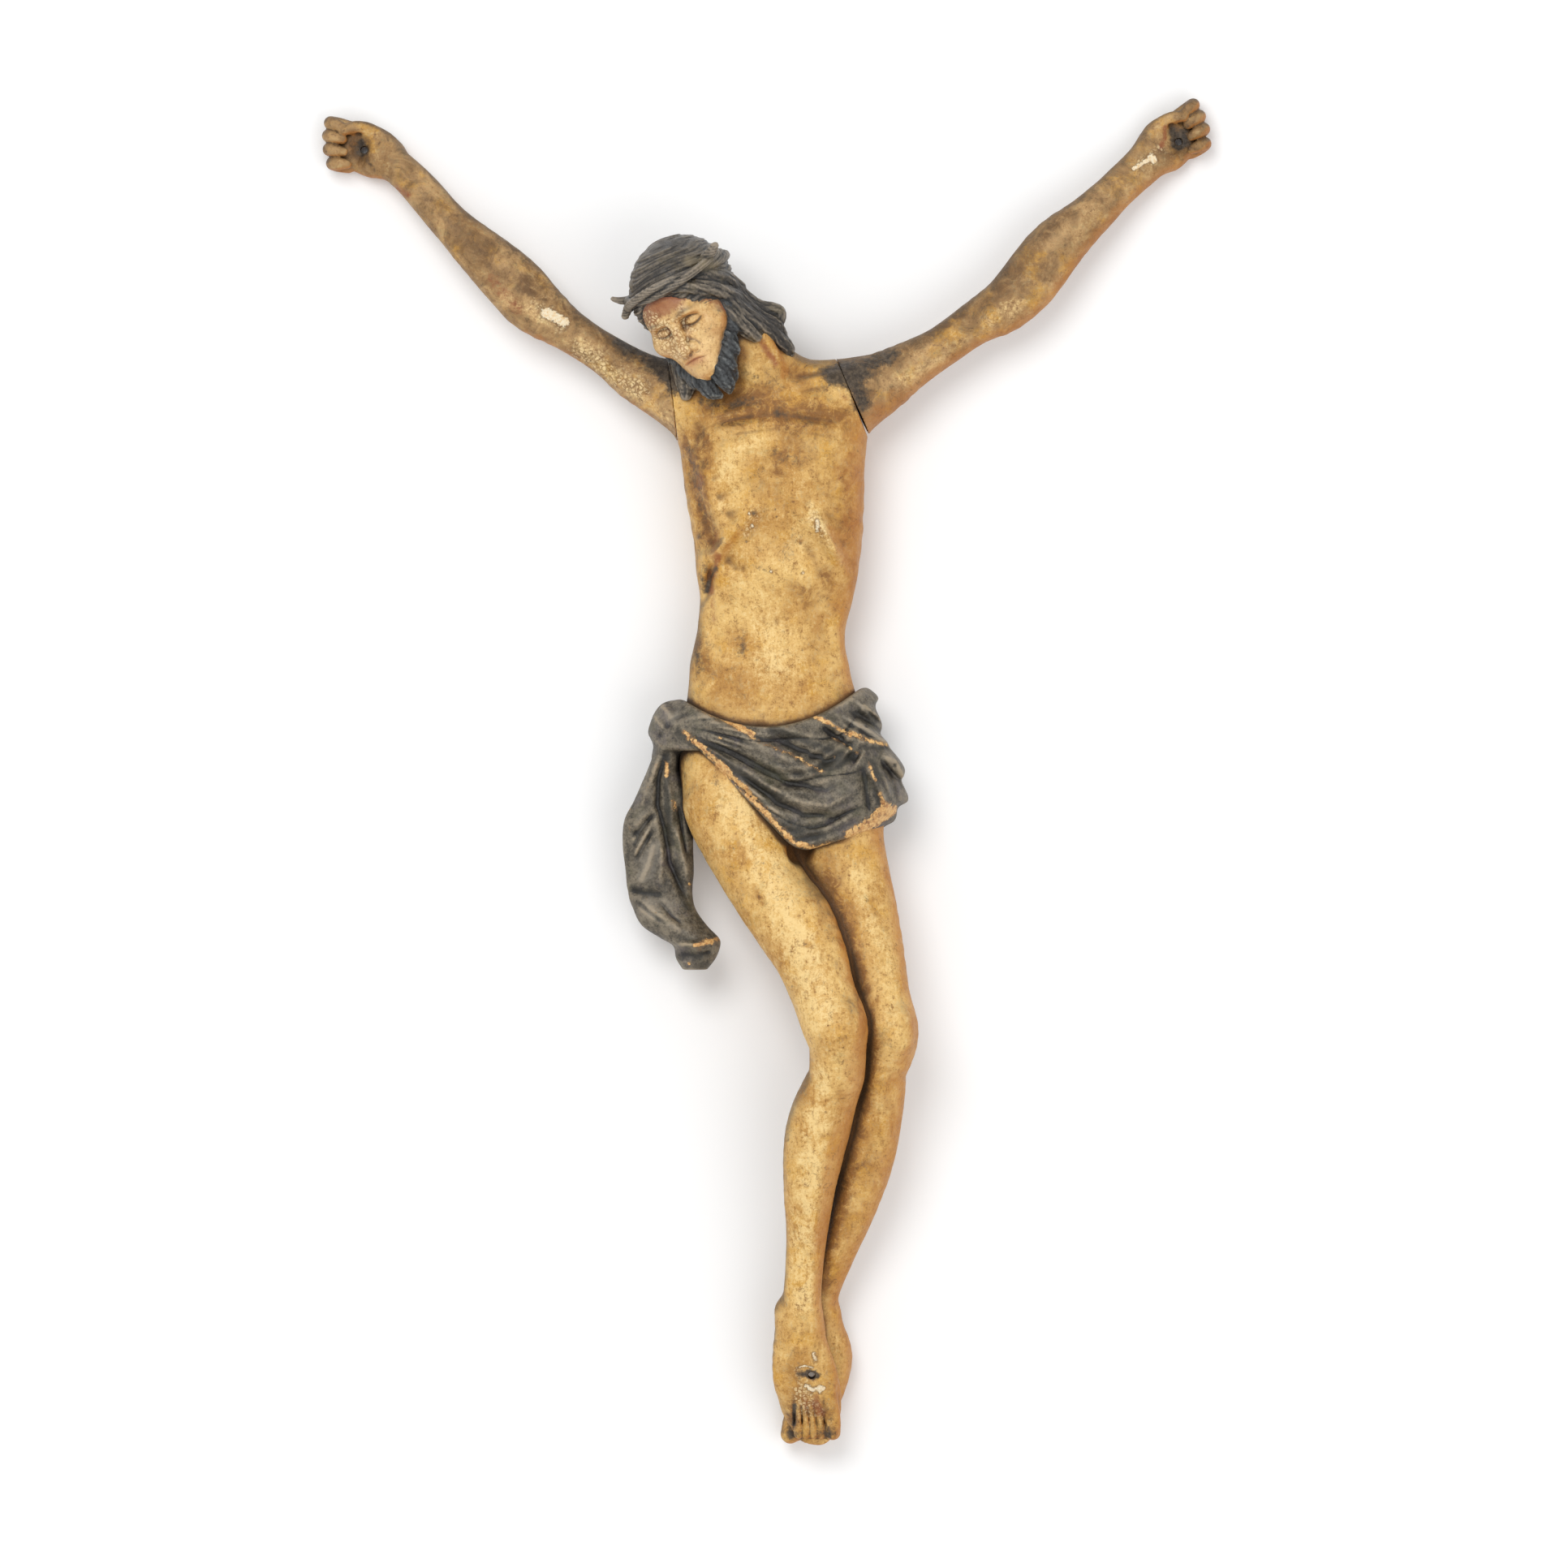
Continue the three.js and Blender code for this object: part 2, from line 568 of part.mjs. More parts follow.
const toes = Array.from({ length: TOE_COUNT }, (_, n) => {
  const big = n === TOE_COUNT - 1;
  const x = 12.2 + n * 3.3 + (big ? 1.9 : 0);
  const radius = big ? 3.5 : 2;
  return limb([
    [x * 0.8 + 3.2, -399, 29.6 - radius * 0.4, radius + 0.5],
    [x * 0.95 + 0.8, -408, 26.6 - radius * 0.4, radius],
    [x, -414, 24.6 - radius * 0.3, radius + 0.1],
    [x, -419.4 + (radius - 2) * 0.5, 20.6, radius],
  ]);
});
const tendons = Array.from({ length: TOE_COUNT - 1 }, (_, n) =>
  limb([[13 + 0.6 * n, -381, 37.2, 0.9], [12.5 + 3.6 * n, -399, 31.4, 1.1]]),
);

const feet = near([-2, 42], [-432, -356], [-4, 48], (x, y, z) => {
  let upper = blend(footRight(x, y, z), heelRight(x, y, z), 5);
  upper = blend(upper, soleRight(x, y, z), 3);
  for (const tendon of tendons) upper = blend(upper, tendon(x, y, z), 2.4);
  for (const toe of toes) upper = blend(upper, toe(x, y, z), 0.9);
  return blend(upper, footLeft(x, y, z), 1.4);
});

const legs = near([-45, 70], [-380, -95], [-4, 86], (x, y, z) =>
  blend(leg(LEG_RIGHT, 0, x, y, z), leg(LEG_LEFT, 1, x, y, z), 1.6),
);

// Loincloth: a thick cloth round the hips, gathered at both sides, with one end hanging at the right hip.

const CLOTH_LEVELS = levels([
  [-88, 1, 26, 39, 23],
  [-94, 3, 26, 44, 26],
  [-101, -0.9, 26, 48.4, 27.5],
  [-108, -2, 26.5, 50.4, 28.5],
  [-119, 2, 27, 53.3, 29.2],
  [-129.6, 7.2, 27.5, 51.8, 29.4],
  [-137, 9.4, 27.7, 50.4, 29.2],
  [-144, 9.2, 28, 47.4, 28.5],
  [-150, 8.2, 28, 44, 27],
  [-164, 8, 28, 40, 25],
]);

// The upper hem dips at the belly, and the lower one runs up over the right thigh.
const upperHem = (x) => -106.5 + 0.0095 * (x + 3) ** 2;
const lowerHemFront = (x) => -blend(150 + 1.05 * x, 160.5 - 0.3 * (x - 18), 9);

// Ridges and hollows of the folds, which sweep from the gather at the right hip to the one at the left.
const clothStrokes = strokes([
  [1.9, 2.6, [-44, -104], [-29, -102], [-10, -112], [5, -119.5], [20, -128], [30, -128], [38, -122]],
  [-2.6, 2.4, [-2, -110.5], [12, -116.5], [24, -121.5], [33, -121.5]],
  [1.4, 2.2, [-8, -107.5], [4, -106.8], [16, -110.5], [26, -115]],
  [-2, 2, [-30, -112.5], [-16, -117.5], [-4, -124.5], [8, -131.5], [24, -134.5], [35, -130]],
  [1.7, 2.2, [-40, -111], [-26, -118], [-6, -128.5], [4, -136], [15, -140], [26, -141.5], [38, -134]],
  [-2.1, 2, [-22, -123.5], [-8, -132], [3, -140], [14, -145], [26, -146], [37, -143]],
  [1.3, 2.2, [-30, -119.5], [-14, -129], [-2, -141], [8, -149.5], [22, -153], [36, -150]],
  [1.8, 1.8, [20, -101.5], [32, -107], [41, -112.5], [52, -114.5]],
  [-2.1, 1.8, [21, -106], [31, -112.5], [38, -117]],
  [1.7, 1.9, [31, -101.5], [43, -107.5], [54, -115], [60, -123]],
  [-1.7, 1.7, [34, -99], [46, -105.5], [57, -114]],
  [1.7, 1.9, [38, -95], [48, -103], [54, -109]],
  [1.8, 1.9, [42, -121], [46, -130], [50, -138], [51, -146]],
  [-1.9, 1.9, [45, -120], [53, -129], [57, -140]],
  [1.6, 2.2, [47, -117.5], [56, -122], [62, -134]],
  [-1.6, 2.2, [40, -123], [41.5, -134], [44, -148]],
]);

function clothFolds(x, y, z, [, , cz, , d]) {
  const front = smoothstep((z - cz) / d, -0.3, 0.3);
  const behind = 0.5 + 0.5 * wave((y + 0.006 * x * x) / 13);
  return front * clothStrokes(x, y) + (1 - front) * (1.6 * behind - 0.8);
}

const clothBody = trunk(CLOTH_LEVELS, 2.15, clothFolds);

const loincloth = near([-58, 66], [-170, -84], [-6, 66], (x, y, z) => {
  const front = smoothstep(z, 6, 32);
  const lower = lerp(-159, Math.min(lowerHemFront(x), -117), front);
  const upper = lerp(-98, upperHem(x), front);
  const band = Math.max(y - upper, lower - y);
  return common(clothBody(x, y, z), band, 3);
});

const TAIL_LEVELS = levels([
  [-104, -41, 30, 4, 7],
  [-114, -44.5, 30, 5.6, 8],
  [-126, -47.6, 29, 7, 8],
  [-138.6, -47, 28, 13.2, 7.6],
  [-147.6, -49.4, 27, 15.4, 7.2],
  [-158.4, -50, 26, 15.6, 6.8],
  [-169.2, -49.3, 25.5, 15.1, 6.4],
  [-180, -49, 25, 14.3, 6.4],
  [-187.2, -47, 25, 13.8, 7],
  [-194.4, -42.6, 26, 14.4, 7.6],
  [-199.8, -36, 27, 13, 8],
  [-203.4, -32.8, 28, 10.4, 8],
  [-208.8, -33.2, 28, 8.8, 7],
  [-213.6, -33.6, 27, 5.5, 4.5],
]);

const tailStrokes = strokes([
  [-2.4, 1.7, [-45.5, -113], [-49.5, -129], [-50, -141], [-47, -152], [-45, -166], [-40, -178], [-36, -185]],
  [1.3, 2.2, [-48.5, -118], [-54.5, -132], [-59, -146]],
  [-1.6, 1.7, [-50.5, -144], [-56, -149.5], [-61.5, -156]],
  [1.3, 2, [-47.5, -157], [-48.5, -168], [-49.5, -177]],
  [1.2, 1.8, [-51.5, -157], [-54, -167], [-58, -176]],
  [-2.2, 1.8, [-62.5, -179], [-56, -179.8], [-49.5, -180]],
  [1.6, 3.4, [-60, -185.5], [-50, -190], [-40, -196], [-30, -198]],
  [1.5, 2, [-43, -148], [-40, -158], [-36, -176]],
  [2, 1.6, [-43.5, -202.6], [-33, -202.8], [-23.5, -200.5]],
  [-3.6, 2.6, [-41, -207.5], [-33, -208], [-26, -206]],
]);

function tailFolds(x, y, z, [, , cz]) {
  return smoothstep(z, cz - 3, cz + 3) * tailStrokes(x, y);
}

const tailBody = trunk(TAIL_LEVELS, 2, tailFolds);
const tail = near([-68, -20], [-218, -100], [12, 42], (x, y, z) => tailBody(x, y, z));
const gatherBulge = ellipsoid([-44, -107, 29], [9, 12, 12]);

function clothAndTail(x, y, z) {
  const knotFolds = 0.9 * Math.cos(0.9 * (x + 0.7 * y));
  let d = blend(loincloth(x, y, z), gatherBulge(x, y, z) - knotFolds, 3);
  return blend(d, tail(x, y, z), 2.2);
}

// Whole pieces, before the cuts

const armRoots = near([-58, 58], [18, 66], [4, 48], (x, y, z) =>
  Math.max(Math.min(ARM_LEFT(x, y, z), ARM_RIGHT(x, y, z)), Math.abs(x) - 58),
);

function trunkWithRoots(x, y, z) {
  return blend(trunkAndNeck(x, y, z), armRoots(x, y, z), 9);
}

const nearTrunk = near([-62, 66], [-166, 92], [-6, 62], trunkWithRoots);

function figure(x, y, z) {
  let d = nearTrunk(x, y, z);
  d = blend(d, legs(x, y, z), 5);
  d = blend(d, feet(x, y, z), 4);
  d = blend(d, clothAndTail(x, y, z), 0.9);
  d = blend(d, head(x, y, z), 2);
  d = blend(d, shoulderLock(x, y, z), 1);
  return blend(d, fallingHair(x, y, z), 1);
}

// An arm runs a little past its seam, to be cut off there.
function arm(shape, palmField, { point, out }) {
  return (x, y, z) => {
    const limbField = blend(shape(x, y, z), palmField(x, y, z), 4);
    if (Math.abs(x) > 75) return limbField;
    const whole = blend(trunkAndNeck(x, y, z), limbField, 9);
    const inboard = (point[0] - x) * out[0] + (point[1] - y) * out[1];
    return Math.max(whole, inboard - 3, ARMPIT - y);
  };
}

// Meshing: the grid's cubes are each split into six tetrahedra, which always gives one closed surface.

// The last three orders are mirror images of the first three.
const AXIS_ORDERS = [[0, 1, 2], [1, 2, 0], [2, 0, 1], [0, 2, 1], [2, 1, 0], [1, 0, 2]];
const ONE_CORNER = [[0, 1, 2, 3], [1, 0, 3, 2], [2, 0, 1, 3], [3, 0, 2, 1]];
const TWO_CORNERS = [[0, 1, 2, 3], [0, 2, 3, 1], [0, 3, 1, 2], [1, 2, 0, 3], [1, 3, 2, 0], [2, 3, 0, 1]];

function meshOf(field, [low, high], step) {
  const counts = low.map((v, n) => Math.ceil((high[n] - v) / step / 4) * 4 + 1);
  const strides = [1, counts[0], counts[0] * counts[1]];
  const values = new Float32Array(counts[0] * counts[1] * counts[2]).fill(NaN);
  const at = (i, j, k) => i + j * strides[1] + k * strides[2];
  const coarse = 4 * step;
  const cubes = [];
  for (let k = 0; k < counts[2] - 1; k += 4)
    for (let j = 0; j < counts[1] - 1; j += 4)
      for (let i = 0; i < counts[0] - 1; i += 4) {
        const middle = [i, j, k].map((v, n) => low[n] + (v + 2) * step);
        if (Math.abs(field(...middle)) > 2.2 * coarse) continue;
        for (let c = 0; c < 125; c++) {
          const [a, b, e] = [i + (c % 5), j + (Math.floor(c / 5) % 5), k + Math.floor(c / 25)];
          const index = at(a, b, e);
          if (!Number.isNaN(values[index])) continue;
          values[index] = field(low[0] + a * step, low[1] + b * step, low[2] + e * step) || 1e-6;
        }
        for (let c = 0; c < 64; c++)
          cubes.push(at(i + (c % 4), j + (Math.floor(c / 4) % 4), k + Math.floor(c / 16)));
      }

  const offsets = Array.from({ length: 8 }, (_, c) => at(c & 1, (c >> 1) & 1, c >> 2));
  const positions = [];
  const vertexOf = new Map();
  const corner = (cube, a, b) => {
    const [lower, upper] = a < b ? [a, b] : [b, a];
    const start = cube + offsets[lower];
    const key = start * 8 + (upper & ~lower);
    let vertex = vertexOf.get(key);
    if (vertex === undefined) {
      const end = cube + offsets[upper];
      const t = clamp(values[start] / (values[start] - values[end]), 0.04, 0.96);
      const [from, to] = [start, end].map((index) => [
        index % counts[0],
        Math.floor(index / strides[1]) % counts[1],
        Math.floor(index / strides[2]),
      ]);
      vertex = positions.length / 3;
      for (let n = 0; n < 3; n++) positions.push(low[n] + lerp(from[n], to[n], t) * step);
      vertexOf.set(key, vertex);
    }
    return vertex;
  };

  const triangles = [];
  for (const cube of cubes) {
    const inside = offsets.map((o) => values[cube + o] < 0);
    if (inside.every(Boolean) || !inside.some(Boolean)) continue;
    AXIS_ORDERS.forEach((order, n) => {
      const tetra = [0, 1 << order[0], (1 << order[0]) | (1 << order[1]), 7];
      const within = tetra.filter((c) => inside[c]).length;
      if (within === 0 || within === 4) return;
      const edge = (a, b) => corner(cube, tetra[a], tetra[b]);
      const add = (a, b, c, flip) => triangles.push(a, ...(flip ? [c, b] : [b, c]));
      const mirror = n > 2;
      if (within === 2) {
        const [i, j, k, l] = TWO_CORNERS.find(([a, b]) => inside[tetra[a]] && inside[tetra[b]]);
        const ring = [edge(i, k), edge(i, l), edge(j, l), edge(j, k)];
        add(ring[0], ring[1], ring[2], mirror);
        add(ring[0], ring[2], ring[3], mirror);
      } else {
        const [i, j, k, l] = ONE_CORNER.find(([a]) => inside[tetra[a]] === (within === 1));
        add(edge(i, j), edge(i, k), edge(i, l), mirror !== (within === 3));
      }
    });
  }
  return { positions, triangles };
}

// Thinning: edges are closed up one by one, the ones that change the shape least first.

class Heap {
  items = [];
  push(item) {
    let i = this.items.push(item) - 1;
    while (i > 0) {
      const up = (i - 1) >> 1;
      if (this.items[up].cost <= item.cost) break;
      this.items[i] = this.items[up];
      i = up;
    }
    this.items[i] = item;
  }
  pop() {
    const top = this.items[0];
    const last = this.items.pop();
    const size = this.items.length;
    if (!size) return top;
    let i = 0;
    for (;;) {
      let down = 2 * i + 1;
      if (down >= size) break;
      if (down + 1 < size && this.items[down + 1].cost < this.items[down].cost) down++;
      if (this.items[down].cost >= last.cost) break;
      this.items[i] = this.items[down];
      i = down;
    }
    this.items[i] = last;
    return top;
  }
}

// A quadric is the ten numbers of a symmetric 4 x 4 matrix: a sum of squared distances to planes.
function planeQuadric([a, b, c], d, weight) {
  return [a * a, a * b, a * c, a * d, b * b, b * c, b * d, c * c, c * d, d * d].map((v) => v * weight);
}

function quadricError(q, [x, y, z]) {
  return (
    q[0] * x * x + 2 * q[1] * x * y + 2 * q[2] * x * z + 2 * q[3] * x + q[4] * y * y +
    2 * q[5] * y * z + 2 * q[6] * y + q[7] * z * z + 2 * q[8] * z + q[9]
  );
}

// The point with the least error, or null where the planes are too nearly parallel to say.
function bestPoint(q) {
  const [a, b, c, p, d, e, r, f, s] = q;
  const [m0, m1, m2] = [d * f - e * e, c * e - b * f, b * e - c * d];
  const det = a * m0 + b * m1 + c * m2;
  if (Math.abs(det) < 1e-3 * (a + d + f) ** 3) return null;
  return [
    -(m0 * p + m1 * r + m2 * s) / det,
    -(m1 * p + (a * f - c * c) * r + (b * c - a * e) * s) / det,
    -(m2 * p + (b * c - a * e) * r + (a * d - b * b) * s) / det,
  ];
}

// The head, hands and feet keep more of their triangles than the rest.
const careAt = (y) => (y > 52 ? 5 : y < -398 ? 16 : 1);

function thin({ positions, triangles }, target) {
  const count = positions.length / 3;
  const point = (v) => [positions[3 * v], positions[3 * v + 1], positions[3 * v + 2]];
  const faces = Array.from({ length: triangles.length / 3 }, (_, f) => triangles.slice(3 * f, 3 * f + 3));
  const facesOf = Array.from({ length: count }, () => new Set());
  const quadrics = Array.from({ length: count }, () => new Array(10).fill(0));
  const stamps = new Uint32Array(count);
  const normalOf = (a, b, c) => {
    const [u, v] = [b.map((n, i) => n - a[i]), c.map((n, i) => n - a[i])];
    return [u[1] * v[2] - u[2] * v[1], u[2] * v[0] - u[0] * v[2], u[0] * v[1] - u[1] * v[0]];
  };
  faces.forEach((face, f) => {
    const corners = face.map(point);
    const normal = normalOf(...corners);
    const area = Math.hypot(...normal);
    if (area > 1e-12) {
      const unit = normal.map((n) => n / area);
      const offset = -unit.reduce((sum, n, i) => sum + n * corners[0][i], 0);
      const q = planeQuadric(unit, offset, area * careAt(corners[0][1]));
      for (const v of face) q.forEach((value, i) => (quadrics[v][i] += value));
    }
    for (const v of face) facesOf[v].add(f);
  });

  const heap = new Heap();
  const offer = (a, b) => {
    const sum = quadrics[a].map((v, i) => v + quadrics[b][i]);
    const [pa, pb] = [point(a), point(b)];
    const middle = pa.map((v, i) => (v + pb[i]) / 2);
    const best = bestPoint(sum);
    const reach = Math.hypot(...pa.map((v, i) => v - pb[i]));
    const near = best && Math.hypot(...best.map((v, i) => v - middle[i])) < 1.5 * reach;
    const options = near ? [best] : [pa, pb, middle];
    let [place, cost] = [null, Infinity];
    for (const option of options) {
      const error = quadricError(sum, option);
      if (error < cost) [place, cost] = [option, error];
    }
    heap.push({ cost: cost + 1e-4 * reach * reach, a, b, place, sum, stamp: [stamps[a], stamps[b]] });
  };
  const neighbours = (v) => {
    const found = new Set();
    for (const f of facesOf[v]) for (const w of faces[f]) if (w !== v) found.add(w);
    return found;
  };
  for (let v = 0; v < count; v++) for (const w of neighbours(v)) if (v < w) offer(v, w);

  // A collapse is refused where it would pinch the surface or turn a triangle over.
  const turnsOver = (v, other, place) => {
    for (const f of facesOf[v]) {
      if (faces[f].includes(other)) continue;
      const before = faces[f].map(point);
      const after = faces[f].map((w, i) => (w === v ? place : before[i]));
      const [n0, n1] = [normalOf(...before), normalOf(...after)];
      const [l0, l1] = [Math.hypot(...n0), Math.hypot(...n1)];
      if (l1 < 1e-9) return true;
      const turn = n0.reduce((sum, n, i) => sum + n * n1[i], 0) / (l0 * l1 || 1);
      if (l0 > 1e-9 && turn < 0.25) return true;
    }
    return false;
  };
  let left = faces.length;
  while (left > target && heap.items.length) {
    const { a, b, place, sum, stamp } = heap.pop();
    if (stamps[a] !== stamp[0] || stamps[b] !== stamp[1] || !facesOf[a].size || !facesOf[b].size) continue;
    const around = neighbours(b);
    const shared = [...neighbours(a)].filter((v) => around.has(v));
    if (shared.length !== 2 || turnsOver(a, b, place) || turnsOver(b, a, place)) continue;
    for (const f of [...facesOf[b]]) {
      if (faces[f].includes(a)) {
        for (const v of faces[f]) facesOf[v].delete(f);
        faces[f] = null;
        left--;
      } else {
        faces[f] = faces[f].map((v) => (v === b ? a : v));
        facesOf[a].add(f);
      }
    }
    facesOf[b].clear();
    for (let n = 0; n < 3; n++) positions[3 * a + n] = place[n];
    quadrics[a] = sum;
    stamps[a]++;
    for (const v of neighbours(a)) offer(a, v);
  }
  return { positions, triangles: faces.filter(Boolean).flat() };
}

// Solids

function solid(positions, triangles) {
  const vertProperties = new Float32Array(positions);
  const triVerts = new Uint32Array(triangles);
  return new wasm.Manifold(new wasm.Mesh({ numProp: 3, vertProperties, triVerts }));
}

function solidOf(geometry) {
  const bare = new THREE.BufferGeometry();
  bare.setAttribute("position", geometry.getAttribute("position").clone());
  if (geometry.index) bare.setIndex(geometry.index.clone());
  const merged = mergeVertices(bare, 1e-4);
  return solid(merged.getAttribute("position").array, merged.index.array);
}

function geometryOf(shape) {
  const { vertProperties, triVerts, numProp } = shape.getMesh();
  const positions = new Float32Array((vertProperties.length / numProp) * 3);
  for (let v = 0; v < positions.length / 3; v++)
    for (let n = 0; n < 3; n++) positions[3 * v + n] = vertProperties[numProp * v + n];
  const geometry = new THREE.BufferGeometry();
  geometry.setAttribute("position", new THREE.BufferAttribute(positions, 3));
  geometry.setIndex([...triVerts]);
  geometry.computeVertexNormals();
  return geometry;
}

function carved(field, box, target) {
  const { positions, triangles } = thin(meshOf(field, box, GRID_STEP), target);
  const parts = solid(positions, triangles).scale(growth).decompose();
  return parts.reduce((a, b) => (b.volume() > a.volume() ? b : a));
}

// Everything below the plane that the figure lies on.
function belowFloor() {
  const size = 2 * FIGURE_LENGTH;
  return solidOf(new THREE.BoxGeometry(size, size, size).translate(0, 0, -size / 2));
}

// All that lies beyond a seam's plane moved by an offset, between two distances along the seam.
function beyondSeam({ point, out }, offset, [from, to]) {
  const width = 300;
  const block = new THREE.BoxGeometry(width, to - from, SEAM_TOP + 10);
  block.translate(width / 2 + offset / growth, (from + to) / 2, (SEAM_TOP - 10) / 2);
  block.rotateZ(Math.atan2(out[1], out[0]));
  block.translate(...point, 0);
  return solidOf(block.scale(growth, growth, growth));
}

// A nail hole along Z, through the whole depth of the wood at that point.
function nailHole([x, y]) {
  const radius = NAIL_HOLE_DIAMETER / 2;
  const drill = new THREE.CylinderGeometry(radius, radius, 200 * growth, 10);
  return solidOf(drill.rotateX(Math.PI / 2).translate(x * growth, y * growth, 0));
}

// The partings between the upper foot's toes, cut with a V gouge: their x, and where they start and end.
const TOE_PARTINGS = [13.9, 17.2, 20.5, 24];
const PARTING_START = { y: -402, z: 33 };
const PARTING_END = { y: -424, z: 20.5 };

function toeParting(x) {
  const rise = PARTING_START.z - PARTING_END.z;
  const run = PARTING_START.y - PARTING_END.y;
  const gouge = new THREE.CylinderGeometry(0.8, 1.7, Math.hypot(rise, run), 4);
  gouge.rotateX(Math.atan2(rise, run));
  gouge.translate(x, (PARTING_START.y + PARTING_END.y) / 2, (PARTING_START.z + PARTING_END.z) / 2);
  return solidOf(gouge.scale(growth, growth, growth));
}

const NAILS = {
  feet: [18, -393],
  handLeft: [HAND_LEFT.centre[0] + 2, HAND_LEFT.centre[1] - 0.5],
  handRight: [HAND_RIGHT.centre[0] + 1.5, HAND_RIGHT.centre[1]],
};

const FIGURE_BOX = [[-84, -430, -6], [72, 116, 94]];
const ARM_LEFT_BOX = [[24, 8, -5], [204, 184, 52]];
const ARM_RIGHT_BOX = [[-208, 8, -5], [-26, 180, 52]];

function bodySolid() {
  const block = carved(figure, FIGURE_BOX, TRUNK_TRIANGLES);
  return wasm.Manifold.difference([block, ...TOE_PARTINGS.map(toeParting)])
    .subtract(beyondSeam(SEAM_LEFT, -SEAM_WIDTH / 2, SEAM_SPAN))
    .subtract(beyondSeam(SEAM_RIGHT, -SEAM_WIDTH / 2, SEAM_SPAN.map((v) => -v).reverse()))
    .subtract(nailHole(NAILS.feet))
    .subtract(belowFloor());
}

function armSolid(shape, palmField, box, seam, nail) {
  return carved(arm(shape, palmField, seam), box, ARM_TRIANGLES)
    .intersect(beyondSeam(seam, SEAM_WIDTH / 2, [-200, 200]))
    .subtract(nailHole(nail))
    .subtract(belowFloor());
}

// Finishes: worn oil paint over gesso on limewood.
const fleshPaint = new THREE.MeshStandardMaterial({ color: 0xc39a62, roughness: 0.55, metalness: 0 });
const armPaint = new THREE.MeshStandardMaterial({ color: 0xa88458, roughness: 0.55, metalness: 0 });

function piece(name, shape, material) {
  const mesh = new THREE.Mesh(geometryOf(shape), material);
  mesh.name = name;
  return mesh;
}

const corpus = new THREE.Group();
const leftArm = armSolid(ARM_LEFT, handLeft, ARM_LEFT_BOX, SEAM_LEFT, NAILS.handLeft);
const rightArm = armSolid(ARM_RIGHT, handRight, ARM_RIGHT_BOX, SEAM_RIGHT, NAILS.handRight);
corpus.add(piece("corpus_body", bodySolid(), fleshPaint));
corpus.add(piece("left_arm", leftArm, armPaint));
corpus.add(piece("right_arm", rightArm, armPaint));

export default corpus;
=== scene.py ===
"""Looks of a carved and painted wooden corpus, the figure of a crucifix without its cross, lying on its back.

The carving is made of distance fields, as the CAD is, but on a finer grid and with finer forms: hair, face,
folds, nails and chips. Fields work in millimetres in the frame of the CAD. The meshes are in metres.
"""
import math
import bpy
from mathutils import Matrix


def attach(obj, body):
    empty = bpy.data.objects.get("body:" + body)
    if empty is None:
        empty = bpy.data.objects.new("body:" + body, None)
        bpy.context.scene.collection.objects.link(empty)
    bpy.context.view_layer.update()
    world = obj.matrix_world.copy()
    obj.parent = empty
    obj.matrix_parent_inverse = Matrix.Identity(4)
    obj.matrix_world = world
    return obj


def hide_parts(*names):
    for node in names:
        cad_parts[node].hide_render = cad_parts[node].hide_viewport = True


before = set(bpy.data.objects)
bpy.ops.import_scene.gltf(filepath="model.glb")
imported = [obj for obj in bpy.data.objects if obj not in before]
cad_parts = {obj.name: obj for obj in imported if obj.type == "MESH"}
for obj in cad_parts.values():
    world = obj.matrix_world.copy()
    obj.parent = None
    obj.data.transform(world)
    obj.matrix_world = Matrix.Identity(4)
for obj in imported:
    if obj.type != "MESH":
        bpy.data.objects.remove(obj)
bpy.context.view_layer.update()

from concurrent.futures import ThreadPoolExecutor

import bpy
import numpy as np
from mathutils import Vector

MM = 0.001  # in metres
FAR = np.float32(1000.0)  # the field of a form that is too far away to matter
REACH = 13.0  # how far from its box a form still matters
THREADS = 4


# Numbers

def smoothstep(value, start, end):
    t = np.clip((value - start) / (end - start), 0, 1)
    return t * t * (3 - 2 * t)


def fade(value, start, end):
    return 1 - smoothstep(value, start, end)


def bell(distance, width):
    return np.exp(-((distance / width) ** 2))


def wave(turns):
    return np.cos(2 * math.pi * turns)


def splined(rows, steps):
    """Rows of numbers, splined into a given number of steps between each two rows."""
    rows = np.array(rows, float)
    first, last = 2 * rows[0] - rows[1], 2 * rows[-1] - rows[-2]
    padded = np.vstack([first, rows, last])
    out = []
    for a, b, c, d in zip(padded, padded[1:], padded[2:], padded[3:]):
        for k in range(steps):
            t = k / steps
            out.append(b + 0.5 * t * (c - a + t * (2 * a - 5 * b + 4 * c - d + t * (3 * (b - c) + d - a))))
    return np.array(out + [rows[-1]])


class Points:
    """Points in millimetres, and the box that they fill."""

    def __init__(self, x, y, z):
        self.x, self.y, self.z = x, y, z
        self.low = np.array([x.min(), y.min(), z.min()])
        self.high = np.array([x.max(), y.max(), z.max()])

    def away(self, low, high):
        return bool(np.any(self.low > high + REACH) or np.any(self.high < low - REACH))


def noise(p, size, seed):
    """Soft noise from -1 to 1, with bumps of about a size in millimetres."""
    total = 0
    random = np.random.default_rng(seed)
    for _ in range(5):
        way = random.normal(size=3)
        way *= 2 * math.pi / (size * 2 * np.linalg.norm(way)) * random.uniform(0.7, 1.4)
        shift = random.uniform(0, 2 * math.pi, 4)
        along = p.x * way[0] + p.y * way[1] + p.z * way[2]
        across = p.y * way[0] - p.x * way[1] + p.z * way[2]
        total = total + np.sin(along + shift[0] + 1.3 * np.sin(0.6 * across + shift[1]))
    return total / 3


# Fields: the distance from a point to the wood's surface, below zero inside

def blend(a, b, rounding):
    """The nearer of two fields, with the crease between them rounded over."""
    overlap = np.maximum(rounding - np.abs(a - b), 0) / rounding
    return np.minimum(a, b) - overlap * overlap * rounding / 4


def cut(a, b, rounding):
    return -blend(-a, b, rounding)


